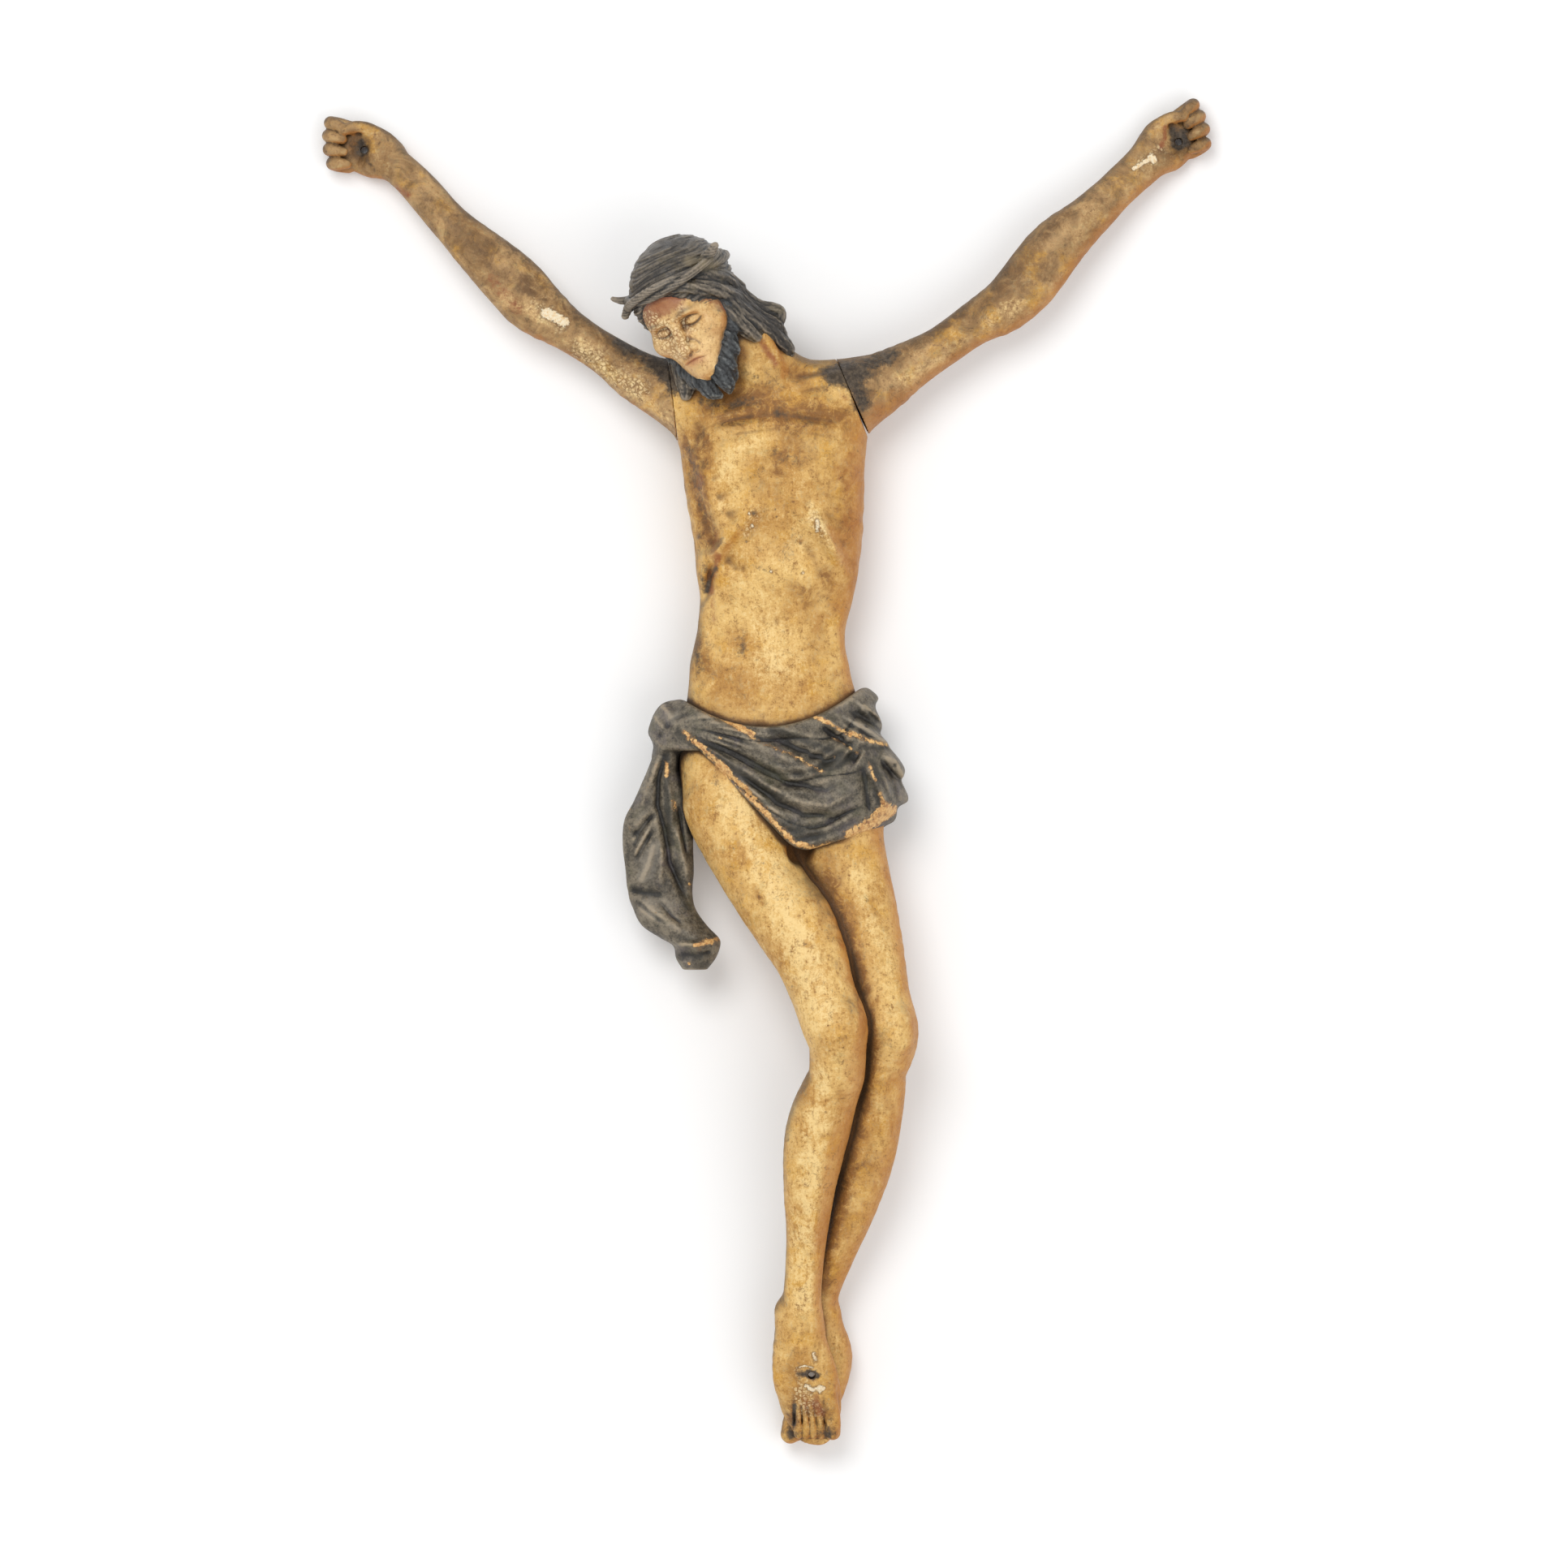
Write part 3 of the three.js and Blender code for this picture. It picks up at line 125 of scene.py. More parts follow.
def common(a, b, rounding):
    return -blend(-a, -b, rounding)


def joined(p, start, *groups):
    """Forms blended one after another onto a start, in groups (rounding, field, field, ...)."""
    d = start
    for rounding, *fields in groups:
        for field in fields:
            value = field(p)
            if value is not FAR:
                d = blend(d, value, rounding)
    return d


def local_frame(centre, yaw, pitch, roll):
    """A function that gives points in another frame, turned by degrees about Y, then X, then Z."""
    a, b, c = (math.radians(v) for v in (yaw, pitch, roll))
    about_y = np.array([[math.cos(a), 0, math.sin(a)], [0, 1, 0], [-math.sin(a), 0, math.cos(a)]])
    about_x = np.array([[1, 0, 0], [0, math.cos(b), -math.sin(b)], [0, math.sin(b), math.cos(b)]])
    about_z = np.array([[math.cos(c), -math.sin(c), 0], [math.sin(c), math.cos(c), 0], [0, 0, 1]])
    axes = (about_z @ about_x @ about_y).T.astype(np.float32)

    def local(p):
        dx, dy, dz = p.x - centre[0], p.y - centre[1], p.z - centre[2]
        return Points(*(axis[0] * dx + axis[1] * dy + axis[2] * dz for axis in axes))

    return local


def near(low, high, field):
    """A field that is only worked out near its box."""
    low, high = np.array(low), np.array(high)
    return lambda p: FAR if p.away(low, high) else field(p)


def ellipsoid(centre, radii):
    centre, radii = np.array(centre, np.float32), np.array(radii, np.float32)

    def field(p):
        if p.away(centre - radii, centre + radii):
            return FAR
        x, y, z = (p.x - centre[0]) / radii[0], (p.y - centre[1]) / radii[1], (p.z - centre[2]) / radii[2]
        return (np.sqrt(x * x + y * y + z * z) - 1) * radii.min()

    return field


def chain(rows, margin=1):
    """A walk along a chain of rows (x, y, z, size, ...), over the links that come near some points.

    For each link it gives its number, how far along it each point lies (0 to 1), the way from there to
    the point, and the sizes there."""
    step = np.diff(rows, axis=0)
    length2 = np.maximum((step[:, :3] ** 2).sum(1), 1e-9)
    widest = margin * np.maximum(rows[:-1, 3:].max(1), rows[1:, 3:].max(1))[:, None]
    lows = np.minimum(rows[:-1, :3], rows[1:, :3]) - widest
    highs = np.maximum(rows[:-1, :3], rows[1:, :3]) + widest

    def walk(p):
        for i in np.flatnonzero(np.all((lows - REACH <= p.high) & (highs + REACH >= p.low), axis=1)):
            wx, wy, wz, *growth = step[i]
            px, py, pz = p.x - rows[i, 0], p.y - rows[i, 1], p.z - rows[i, 2]
            t = np.clip((px * wx + py * wy + pz * wz) / length2[i], 0, 1)
            sizes = [size + t * more for size, more in zip(rows[i, 3:], growth)]
            yield i, t, (px - t * wx, py - t * wy, pz - t * wz), sizes

    return walk


def limb(stations, steps=3):
    """A limb through stations (x, y, z, half width, half depth). The depth is measured along Z."""
    rows = splined([s if len(s) == 5 else (*s, s[3]) for s in stations], steps).astype(np.float32)
    walk = chain(rows)
    way = np.diff(rows[:, :3], axis=0)
    length2 = np.maximum((way**2).sum(1), 1e-9)
    lift = 1 / np.sqrt(np.maximum(1 - way[:, 2] ** 2 / length2, 0.05))
    deep_axis = (np.array([0, 0, 1]) - (way[:, 2] / length2)[:, None] * way) * lift[:, None]

    def field(p):
        best = FAR
        for i, _, (px, py, pz), (w, d) in walk(p):
            ax, ay, az = deep_axis[i]
            deep = px * ax + py * ay + pz * az
            wide2 = np.maximum(px * px + py * py + pz * pz - deep * deep, 0)
            best = np.minimum(best, (np.sqrt(wide2 / (w * w) + deep * deep / (d * d)) - 1) * np.minimum(w, d))
        return best

    return field


def trunk(sections, power, relief):
    """An upright form through level sections (y, centre x, centre z, half width, half depth), with relief."""
    rows = splined(sections, 6)[::-1]
    low_y, high_y = rows[0, 0], rows[-1, 0]
    low = np.array([(rows[:, 1] - rows[:, 3]).min() - 3, low_y, (rows[:, 2] - rows[:, 4]).min() - 3])
    high = np.array([(rows[:, 1] + rows[:, 3]).max() + 3, high_y, (rows[:, 2] + rows[:, 4]).max() + 3])

    def field(p):
        if p.away(low, high):
            return FAR
        cx, cz, w, d = (np.interp(p.y, rows[:, 0], rows[:, k]).astype(np.float32) for k in (1, 2, 3, 4))
        ring = (np.abs((p.x - cx) / w) ** power + np.abs((p.z - cz) / d) ** power) ** (1 / power)
        side = (ring - 1) * np.minimum(w, d) - relief(p, cz, d)
        end = np.maximum(np.maximum(p.y - high_y, low_y - p.y), 0)
        return np.where(end > 0, np.hypot(np.maximum(side, 0), end), side)

    return field


def strokes(rows, taper=0.0):
    """Strokes of a tool or brush along paths seen from the front: (height, width, x, y, x, y, ...).

    Each stroke fades over a share of its length, the taper, at both ends."""
    tools = []
    for height, width, *path in rows:
        path = np.array(path, float).reshape(-1, 2)
        if len(path) == 1:
            path = np.vstack([path, path + 1e-3])
        run = np.r_[0, np.cumsum(np.linalg.norm(np.diff(path, axis=0), axis=1))]
        edge = 2.6 * width
        tools.append((height, width, path, run / run[-1], path.min(0) - edge, path.max(0) + edge))

    def value(p):
        total = np.zeros_like(p.x)
        for height, width, path, run, low, high in tools:
            if np.any(p.low[:2] > high) or np.any(p.high[:2] < low):
                continue
            nearest, along = np.full_like(p.x, 1e9), np.zeros_like(p.x)
            for (x0, y0), (x1, y1), s0, s1 in zip(path, path[1:], run, run[1:]):
                dx, dy = x1 - x0, y1 - y0
                t = np.clip(((p.x - x0) * dx + (p.y - y0) * dy) / (dx * dx + dy * dy), 0, 1)
                away = (p.x - x0 - t * dx) ** 2 + (p.y - y0 - t * dy) ** 2
                if taper:
                    along = np.where(away < nearest, s0 + t * (s1 - s0), along)
                nearest = np.minimum(nearest, away)
            strength = height * np.exp(-nearest / width**2)
            if taper:
                strength = strength * smoothstep(np.minimum(along, 1 - along), -0.02, taper)
            total = total + strength
        return total

    return value


# Trunk

MIDLINE = 2.5  # the breastbone's x
TORSO_LEVELS = [
    (50, 0, 29, 22, 9), (43, 1, 28, 36, 17), (34, 1, 27, 41, 23), (22, 1, 26, 41.4, 26.5),
    (8, 1.2, 25, 40.3, 27.5), (-6, 2, 25, 39.3, 27), (-20, 2.9, 26, 37.8, 25.5), (-36, 2.9, 27, 36, 22.5),
    (-52, 2.2, 26.5, 33.6, 18.5), (-66, -0.4, 26, 32.6, 16.5), (-79, -0.7, 26, 35, 18),
    (-93, 0.5, 26, 37.3, 20.5), (-110, 3, 26, 42, 23.5), (-128, 5.5, 27, 44, 24.5),
    (-146, 6, 28, 43, 23), (-158, 5, 29, 34, 18),
]
torso_strokes = strokes([
    (-2.8, 3, -37, 16, -34, -2, -28, -20, -22, -33), (2.1, 3.4, -31, 14, -28, -4, -20, -19, -12, -25),
    (-1.6, 3.4, -22, -30, -15, -36, -8, -38), (2.6, 2.8, 17, -6, 24, -20, 32, -36),
    (-1.1, 3.8, 14, -22, 19, -34, 24, -44), (-0.8, 4, -18, 34, -6, 30), (-0.6, 4, 3, 27, 16, 31),
    (1.2, 3.4, 8, 35, 22, 37.5, 34, 30), (-1.1, 3, -34, 30, -31, 20), (0.8, 4, -20, 14, -8, 17),
    (-0.8, 3.5, -30, -52, -24, -66, -26, -82), (-0.8, 3.5, 28, -50, 24, -64, 27, -80),
    (0.7, 3, -12, -46, -16, -60, -14, -76), (-0.9, 2.6, -40, 4, -36, -8), (-0.8, 2.4, -37, -14, -32, -24),
], 0.3)


def front_relief(p):
    x, y = p.x, p.y
    aside = np.abs(x - MIDLINE)
    arch = -12 - 0.028 * aside * aside
    on_cage = smoothstep(y, arch - 2, arch + 5)
    breasts = 2.6 * bell(aside - 19, 13) * bell(y - 10, 12)
    crooked = x - MIDLINE + 1.1 * np.sin(y / 8.5)
    breastbone = -1.1 * bell(crooked, 5.5) * smoothstep(y, -20, 0) * fade(y, 28, 46)
    arch_edge = 2.6 * bell(y - arch - 2, 4.5) * smoothstep(aside, 3, 12) * fade(aside, 24, 34)
    hollow = -2.4 * bell(y - arch + 12, 10) * bell(aside, 24)
    ribs = 0.35 * wave((y + 0.4 * aside) / 9.5) * smoothstep(aside, 10, 22) * on_cage * fade(y, 8, 24)
    upper_ribs = 0.75 * wave((y + 0.15 * aside) / 7) * bell(y - 28, 9) * bell(aside - 14, 14)
    belly_line = -0.6 * bell(crooked, 4.5) * smoothstep(y, -66, -46) * fade(y, -30, -10)
    belly_sides = -0.9 * bell(aside - 19, 3.4) * bell(y + 58, 16)
    navel = -0.7 * bell(aside, 2.6) * bell(y + 60, 3)
    belly = 1.8 * bell(aside, 18) * bell(y + 78, 14)
    cage = breasts + breastbone + arch_edge + hollow + ribs + upper_ribs
    return cage + belly_line + belly_sides + navel + belly + torso_strokes(p)


def torso_relief(p, cz, d):
    front = smoothstep((p.z - cz) / d, 0.15, 0.7)
    back = smoothstep((cz - p.z) / d, 0.3, 0.8)
    ribs = 0.1 * wave((p.y + 10) / 9.5) * bell(p.y + 12, 20)
    along = p.y + 41
    wound = -2.6 * bell(p.x + 27 - 0.3 * along + 0.9 * np.sin(along / 3.2), 2) * bell(along, 8)
    aside = np.abs(p.x - 1)
    blades = 1.6 * bell(aside - 21, 9) * bell(p.y - 18, 14)
    spine = -1.8 * bell(aside, 3.5) * (1 - bell(p.y - 2, 22))
    relief = front * front_relief(p) + back * (blades + spine) + (1 - front - back) * ribs
    return relief + smoothstep(p.z, cz, cz + 10) * wound


torso = trunk(TORSO_LEVELS, 2.4, torso_relief)
neck = limb([
    (1, 32, 29, 17, 13), (-2, 46, 34, 14, 13), (-9, 58, 40, 12.3), (-17, 68, 45, 12), (-27, 80, 48, 12),
])
shoulders = [
    limb([(0, 53, 31, 9), (14, 46, 29, 10), (33, 41, 27, 12)]),
    limb([(-6, 53, 31, 9), (-17, 46, 29, 10), (-34, 41, 27, 12)]),
]
collarbones = [
    limb([(4, 41, 44.5, 2.6), (20, 46, 43, 2.3), (38, 49, 35, 2.6)]),
    limb([(-3, 41, 44.5, 2.6), (-19, 45, 43, 2.3), (-35, 46, 36, 2.6)]),
]
neck_cords = [
    limb([(3, 42, 43.5, 2.2), (2, 53, 47, 3), (-4, 66, 50, 3.4)]),
    limb([(-1, 42, 43.5, 2.2), (-9, 50, 49, 2.6)]),
]


def trunk_and_neck(p):
    return joined(p, torso(p), (10, *shoulders), (9, neck), (3, *collarbones), (4, *neck_cords))


# Head, in a frame of its own: the eyes are level with its centre, and the nose points along +Z

HEAD_CENTRE, HEAD_YAW, HEAD_NOD, HEAD_LEAN = (-35.5, 78, 51), -30, 15, 35
HAIRLINE, BROW, LASHES, NOSE_BASE, MOUTH, CHIN = 17, 4, -1.7, -11, -16, -27
EYE_X = 7.4

skull = ellipsoid((0, 9, -3), (20, 22, 24.5))
jaw = limb([(0, -2, 2, 17, 19), (0, -13, 5, 15, 17), (0, -21, 10, 10.5, 12)])
chin = ellipsoid((0, CHIN + 4.5, 18.5), (5.5, 5, 5))
nose = limb([(0, BROW - 2, 20.5, 2), (0, -3, 23.5, 2.2), (0, -8.5, 26.2, 2.9)])


def ball(x, y, z):
    return np.sqrt(x * x + y * y + z * z)


def face(p):
    x, y, z = p.x, p.y, p.z
    aside = np.abs(x)
    eye = aside - EYE_X
    d = joined(p, skull(p), (7, jaw), (5, chin))
    d = blend(d, ball(aside - 8, (y - BROW - 0.6 + 0.05 * (aside - 8) ** 2) * 1.1, z - 18.5) - 4.2, 5)
    d = blend(d, ball((aside - 11.5) * 0.9, (y + 6) * 1.1, z - 13) - 6.2, 6)
    socket = ball(eye / 6.2, (y - 0.2) / 3.7, (z - 22) / 4.2) - 1
    d = cut(d, socket * 3.7, 3)
    eyeball = ball(eye * 0.86, y + 0.2, z - 15.6) - 3.7
    lash_line = 0.55 * bell(y - LASHES - 0.05 * eye**2, 0.5) * bell(eye, 4.2)
    lid_crease = 0.35 * bell(y - 2.3 + 0.05 * eye**2, 0.45) * bell(eye, 4)
    d = blend(d, eyeball, 1) + (lash_line + lid_crease) * (z > 10)
    d = joined(p, d, (2.6, nose))
    d = blend(d, ball(aside - 2.7, (y - NOSE_BASE - 1.6) * 0.95, z - 22.6) - 2.1, 1.3)
    d = cut(d, ball((aside - 1.9) / 1.1, (y - NOSE_BASE + 0.9) / 1.2, (z - 24.6) / 1.5) - 1, 0.6)
    muzzle = ball(x / 8.5, (y - MOUTH) / 6.5, (z - 16) / 7) - 1
    d = blend(d, muzzle * 6, 5)
    lip_line = 0.7 - 0.035 * x * x
    upper_lip = ball(x / 5.6, (y - MOUTH - 1.3 - lip_line) / 1.5, (z - 22.4) / 2) - 1
    lower_lip = ball(x / 4.6, (y - MOUTH + 1.6 - lip_line) / 1.7, (z - 22) / 2.2) - 1
    d = blend(d, np.minimum(upper_lip * 1.5, lower_lip * 1.7), 0.8)
    mouth_line = 0.5 * bell(y - MOUTH - 0.1 - lip_line, 0.4) * bell(x, 4.6)
    philtrum = 0.35 * bell(x, 0.9) * bell(y + 13.6, 1.5)
    return d + (mouth_line + philtrum) * (z > 14)


def strands(p):
    """Combed strands: grooves of uneven width that run from the face to the back of the head."""
    bend = 0.9 * np.sin(p.z / 5 + p.x / 8) + 0.5 * np.sin(p.z / 2.3 - p.y / 6)
    across = p.y - 0.35 * p.z + bend
    broad = wave(across / 4.3 + 0.12 * np.sin(p.x / 3))
    fine = wave(across / 1.9 + 0.4 * np.sin(p.z / 3.1))
    return (0.3 * broad + 0.2 * fine + 0.12 * wave(across / 1.15)) * (1 - 0.45 * smoothstep(p.y, 12, 24))


hair_cap = ellipsoid((-0.4, 9, -4), (22.2, 23, 27))
face_opening = ellipsoid((-2.5, HAIRLINE - 23, 28), (19.5, 24, 27))
nape = limb([(-1, 2, -16, 15.5, 11), (0, -14, -14, 13, 9), (4, -26, -8, 9, 7)])


def lock(stations, grooves, turns, first=0.0, depth=0.17):
    """A lock of hair along stations (x, y, z, radius), with carved grooves that wind round it."""
    rows = splined(stations, 3)
    way = np.gradient(rows[:, :3], axis=0)
    side = np.cross(way, (0, 0, 1))
    side /= np.linalg.norm(side, axis=1)[:, None]
    up = np.cross(side, way)
    up /= np.linalg.norm(up, axis=1)[:, None]
    rows, side, up = (v.astype(np.float32) for v in (rows, side, up))
    walk = chain(rows, 1.3)

    def field(p):
        best = None
        for i, t, (px, py, pz), (radius,) in walk(p):
            d = np.sqrt(px * px + py * py + pz * pz) - radius
            (sx, sy, sz), (ux, uy, uz) = side[i], up[i]
            now = (d, px * sx + py * sy + pz * sz, px * ux + py * uy + pz * uz, i + t, radius)
            best = now if best is None else [np.where(d < best[0], a, b) for a, b in zip(now, best)]
        if best is None:
            return FAR
        d, across, over, along, radius = best
        turn = np.arctan2(over, across) / (2 * math.pi) * grooves + turns * along / (len(rows) - 1) + first
        ridge = np.sqrt(np.abs(np.sin(math.pi * turn)))
        fine = wave(2 * turn + 0.3 * np.sin(along * 1.7))
        return d - radius * (depth * (ridge - 0.6) + 0.03 * fine)

    return field


# Waves that sweep from the forehead back over the left ear
hair_waves = [
    lock([(6, 18, 19.5, 2.4), (13, 13.5, 15, 3.4), (17.6, 6, 8, 4), (19, -2, 0, 4), (18, -10, -8, 3.4)],
         6, 0.9),
    lock([(11, 18, 13.5, 2.8), (17, 12, 6, 3.8), (19.4, 4, -4, 4), (18.6, -5, -12, 3.6)], 6, 0.8, 0.4),
]


def hair(p):
    cap = joined(p, hair_cap(p), (6, nape)) - strands(p)
    return joined(p, cut(cap, face_opening(p), 2), (0.8, *hair_waves))


# The beard follows the jaw from ear to chin in short overlapping tufts, and ends in two points.
beard_line = splined([
    (17.8, 0, 2, 2), (16.8, -8, 5, 2.5), (14, -16, 9.4, 3), (10.2, -22, 14, 3.4), (6.2, -25.8, 17.6, 3.4),
], 2)
curls = []
for i, (x, y, z, r) in enumerate(beard_line):
    for side in (1, -1):
        bow = 1.6 if i % 2 else 0.2
        curls.append(lock([
            (side * (x - 2), y + 3.4, z + 0.6, r * 0.7), (side * (x + 0.4 * bow), y + 0.6, z + 1.4, r),
            (side * (x + bow), y - 3, z + 1.2, r * 0.8), (side * (x - 0.6), y - 6, z + 1.2, r * 0.4),
        ], 5, 0.7 * side, i * 0.37, 0.22))
beard_points = [  # stations, grooves, turns, first, depth
    ([(2.2, -23, 17.5, 4.2), (4, -28, 18.6, 4.4), (4.6, -32.5, 19, 3.6), (2.6, -36.6, 18.4, 1.5)],
     6, 0.8, 0.2, 0.2),
    ([(6.4, -23, 16, 3.6), (8, -27.5, 16, 3.4), (7.4, -32, 16, 2.2), (5.6, -34.6, 16.4, 1.1)],
     5, -0.7, 0.4, 0.22),
]
for side in (1, -1):
    for stations, grooves, turns, first, depth in beard_points:
        curls.append(lock([(side * x, *rest) for x, *rest in stations], grooves, turns * side, first, depth))


def beard(p):
    return joined(p, FAR, (0.6, *curls))


# A twisted wreath of two stems round the head, with the ends of its thorns standing out.
WREATH_HEIGHT, WREATH_TILT, STEM_RADIUS, TWISTS, WREATH_STEPS = 14.6, 0.24, 1.9, 2, 72
wreath = []
for phase in (0.2, 0.7):
    stations = []
    for i in range(WREATH_STEPS + 1):
        angle = i / WREATH_STEPS * 2 * math.pi
        twist = 2 * math.pi * (TWISTS * i / WREATH_STEPS + phase)
        out = 0.3 + 1.1 * math.cos(twist)
        z = -4 + (27 + out) * 0.95 * math.cos(angle)
        height = WREATH_HEIGHT + WREATH_TILT * z + 1.6 * math.sin(twist)
        stations.append(((22.2 + out) * math.sin(angle), height, z, STEM_RADIUS))
    wreath.append(limb(stations, 1))
thorns = [
    limb([(-21, 16, 2, 2.2), (-26, 18.5, 2, 1.6), (-28.6, 20.5, 1.6, 1.1)]),
    limb([(-22, 15, 6, 2.2), (-25.4, 12.4, 7, 1.7)]),
    limb([(20, 17, 2, 2.6), (25, 18.6, 1, 2.3), (28.2, 20.2, 0, 1.7)]),
]


def crown(p):
    bark = 0.14 * wave((p.y + 0.3 * p.x) / 1.3 + 0.3 * np.sin(p.x / 2.1))
    d = joined(p, FAR, (0.5, *wreath, *thorns))
    return FAR if d is FAR else d - bark


# Locks that fall over the left of the neck, from the outer one to the one next to the beard
falling_locks = [
    lock([
        (-28, 95, 46, 5), (-18.6, 87, 47, 5), (-11.2, 80.6, 46, 4.6), (-5, 78, 45, 3.8), (0.2, 77.6, 44, 3.2),
        (3.6, 76.6, 43.4, 2.7), (3.8, 73.2, 43.4, 2.5), (1.2, 71.6, 44.5, 1.9),
    ], 7, 1.2),
    lock([
        (-27, 90, 53, 5.4), (-18.5, 82.6, 53.5, 5.4), (-11, 76.2, 51.4, 5), (-4.4, 72.4, 48.2, 4.4),
        (1.2, 70.4, 45, 3.8), (4.6, 66.6, 42, 2.6),
    ], 8, 1.4, 0.3),
    lock([
        (-25, 85, 58, 5.4), (-17.4, 77.6, 58, 5.4), (-10, 72.4, 54.6, 5), (-3.4, 68.8, 49.5, 4.4),
        (2.4, 64.6, 44, 4.2), (7, 60, 40, 3.4), (7.2, 55.6, 38.6, 1.8),
    ], 7, 1.3, 0.1),
    lock([
        (-23, 80, 61.5, 3.8), (-17, 73.8, 61.4, 4), (-11.5, 69, 59, 3.6), (-6.5, 65.4, 55, 2.6),
    ], 6, 0.8, 0.6),
    lock([
        (-22, 87, 38, 7), (-13.4, 77.6, 37, 7), (-5.6, 70.4, 36, 6.4), (1, 62.6, 34, 5.2), (5, 55.6, 33, 3.4),
    ], 9, 0.9),
]
shoulder_lock = lock([
    (-42, 63, 42, 4), (-39.5, 54, 42, 4.6), (-37.5, 46, 43, 4.4), (-37.5, 40, 44, 2.6),
], 6, 0.8)


def falling_hair(p):
    return joined(p, FAR, (0.8, *falling_locks, shoulder_lock))


to_head = local_frame(HEAD_CENTRE, HEAD_YAW, HEAD_NOD, HEAD_LEAN)


def head_parts(p):
    """The fields of the face, the hair, the beard and the wreath."""
    local = to_head(p)
    return face(local), blend(hair(local), falling_hair(p), 1), beard(local), crown(local)


def head(p):
    skin, hairs, chin_hair, stems = head_parts(p)
    d = blend(skin, hairs, 0.8)
    d = blend(d, chin_hair, 0.8)
    return blend(d, stems, 0.6)


# Arms

ARM_LEFT = limb([
    (30.6, 38.9, 27, 13.5, 13), (46.4, 44.4, 26, 13.8, 12.5), (60.5, 52.9, 25, 10.9, 10),
    (75.7, 61.8, 24, 9.1, 9), (90.3, 72.1, 23.5, 9.6, 9), (104.1, 80.2, 23, 12, 9.4),
    (115.7, 92.5, 22, 13, 9.8), (126.9, 106.7, 20.5, 12.4, 9.4), (140.3, 118.9, 18, 9.7, 8.4),
    (154.7, 132.9, 14.5, 8.6, 7.4), (167.4, 144.9, 10.5, 9.1, 6.6), (173, 149.4, 8, 9.8, 6.2),
])
ARM_RIGHT = limb([
    (-31.7, 36, 27, 13.5, 13), (-46.8, 42.6, 26, 13, 12.4), (-59.6, 48.8, 25, 11.3, 10.2),
    (-74, 58.7, 24, 9, 8.8), (-89.2, 68.6, 23.5, 9.4, 8.8), (-103.6, 79.1, 23, 12.5, 9.4),
    (-114.9, 90.9, 22, 12.9, 9.6), (-128, 103, 20.5, 11, 9), (-141.6, 116.2, 18, 8.6, 8.2),
    (-154.2, 130.6, 14.5, 8, 7.4), (-164.6, 140.8, 11.5, 7.6, 6.6), (-172.4, 145.8, 9, 8.8, 6.2),
])

# A clenched hand in a frame of its own: the fingers point along +X, the thumb lies on +Y, the palm is +Z.
FINGER_PITCH = 5.7
FINGER_REACH = [10.6, 13.7, 15.4, 15.8]  # from the little finger to the first
fingers = []
for n, reach in enumerate(FINGER_REACH):
    y = (n - 1.5) * FINGER_PITCH
    fingers.append(limb([
        (4, y * 0.94, -1.5, 3.3), (reach - 2.6, y, 0, 3.2), (reach, y, 4.2, 3),
        (reach - 2.6, y * 0.96, 7.6, 2.7), (reach - 6.4, y * 0.88, 7.2, 2.1),
    ]))
palm = ellipsoid((0, 0.8, 0), (12, 10.6, 6.4))
heel_of_hand = limb([(-13, 0, 0, 7.2, 6), (-7, 0, 0.5, 8.6, 6.4)])
thumb = limb([(-9, 5, 3, 3.6), (-2, 9, 4.6, 3.3), (4.6, 9, 6.8, 2.9), (9.4, 6.6, 8.6, 2.3)])
wrist_ridge = limb([(-5.5, 8.4, 5.8, 1.7), (-7, 2, 7.3, 1.8), (-8.4, -6.5, 5.8, 1.5)])
palm_creases = [
    limb([(-2, -8.5, 6, 1.5), (-3, -2.5, 6.6, 1.7), (-1, 3, 6.4, 1.5)]),
    limb([(2.5, 6, 6.8, 1.5), (4, 0, 6.6, 1.5), (3.4, -6, 6, 1.5)]),
    limb([(-12, 9, 3, 0.9), (-10.6, 3, 6.6, 0.9), (-11, -6, 5.6, 0.8)]),
]
palm_hollow = ellipsoid((0, -1, 8.8), (6.6, 7.4, 6))


def hand(p):
    d = cut(joined(p, palm(p), (5, heel_of_hand), (2.5, thumb)), palm_hollow(p), 2)
    d = joined(p, d, (1.6, wrist_ridge), (1.1, *fingers))
    for crease in palm_creases:
        groove = crease(p)
        d = d if groove is FAR else cut(d, groove, 1.2)
    return d


HAND_LEFT, HAND_LEFT_ROLL = (178.6, 153.2, 5.2), 33.5
HAND_RIGHT, HAND_RIGHT_ROLL = (-181.7, 149.2, 5.2), -13
to_left_hand = local_frame(HAND_LEFT, 0, 0, HAND_LEFT_ROLL)
to_right_hand = local_frame(HAND_RIGHT, 0, 0, HAND_RIGHT_ROLL)


def hand_left(p):
    return hand(to_left_hand(p))


def hand_right(p):
    """The mirror image of the left one."""
    local = to_right_hand(p)
    return hand(Points(-local.x, local.y, local.z))


# Each shoulder's seam is a plane: a point on it, and the direction in which the arm leaves it.
SEAM_LEFT = ((36.5, 37.8), (0.923, 0.385))
SEAM_RIGHT = ((-43.4, 38), (-0.993, -0.12))
SEAM_WIDTH = 0.12
SEAM_SPAN = (-34, 24)  # from end to end along the seam
SEAM_TOP = 45  # the highest z
ARMPIT = 14  # the lowest y of an arm


def seam_sides(p, seam):
    """Distances off the seam's plane towards the arm, and along the seam."""
    (x, y), (out_x, out_y) = seam
    return (p.x - x) * out_x + (p.y - y) * out_y, (y - p.y) * -out_x + (x - p.x) * out_y


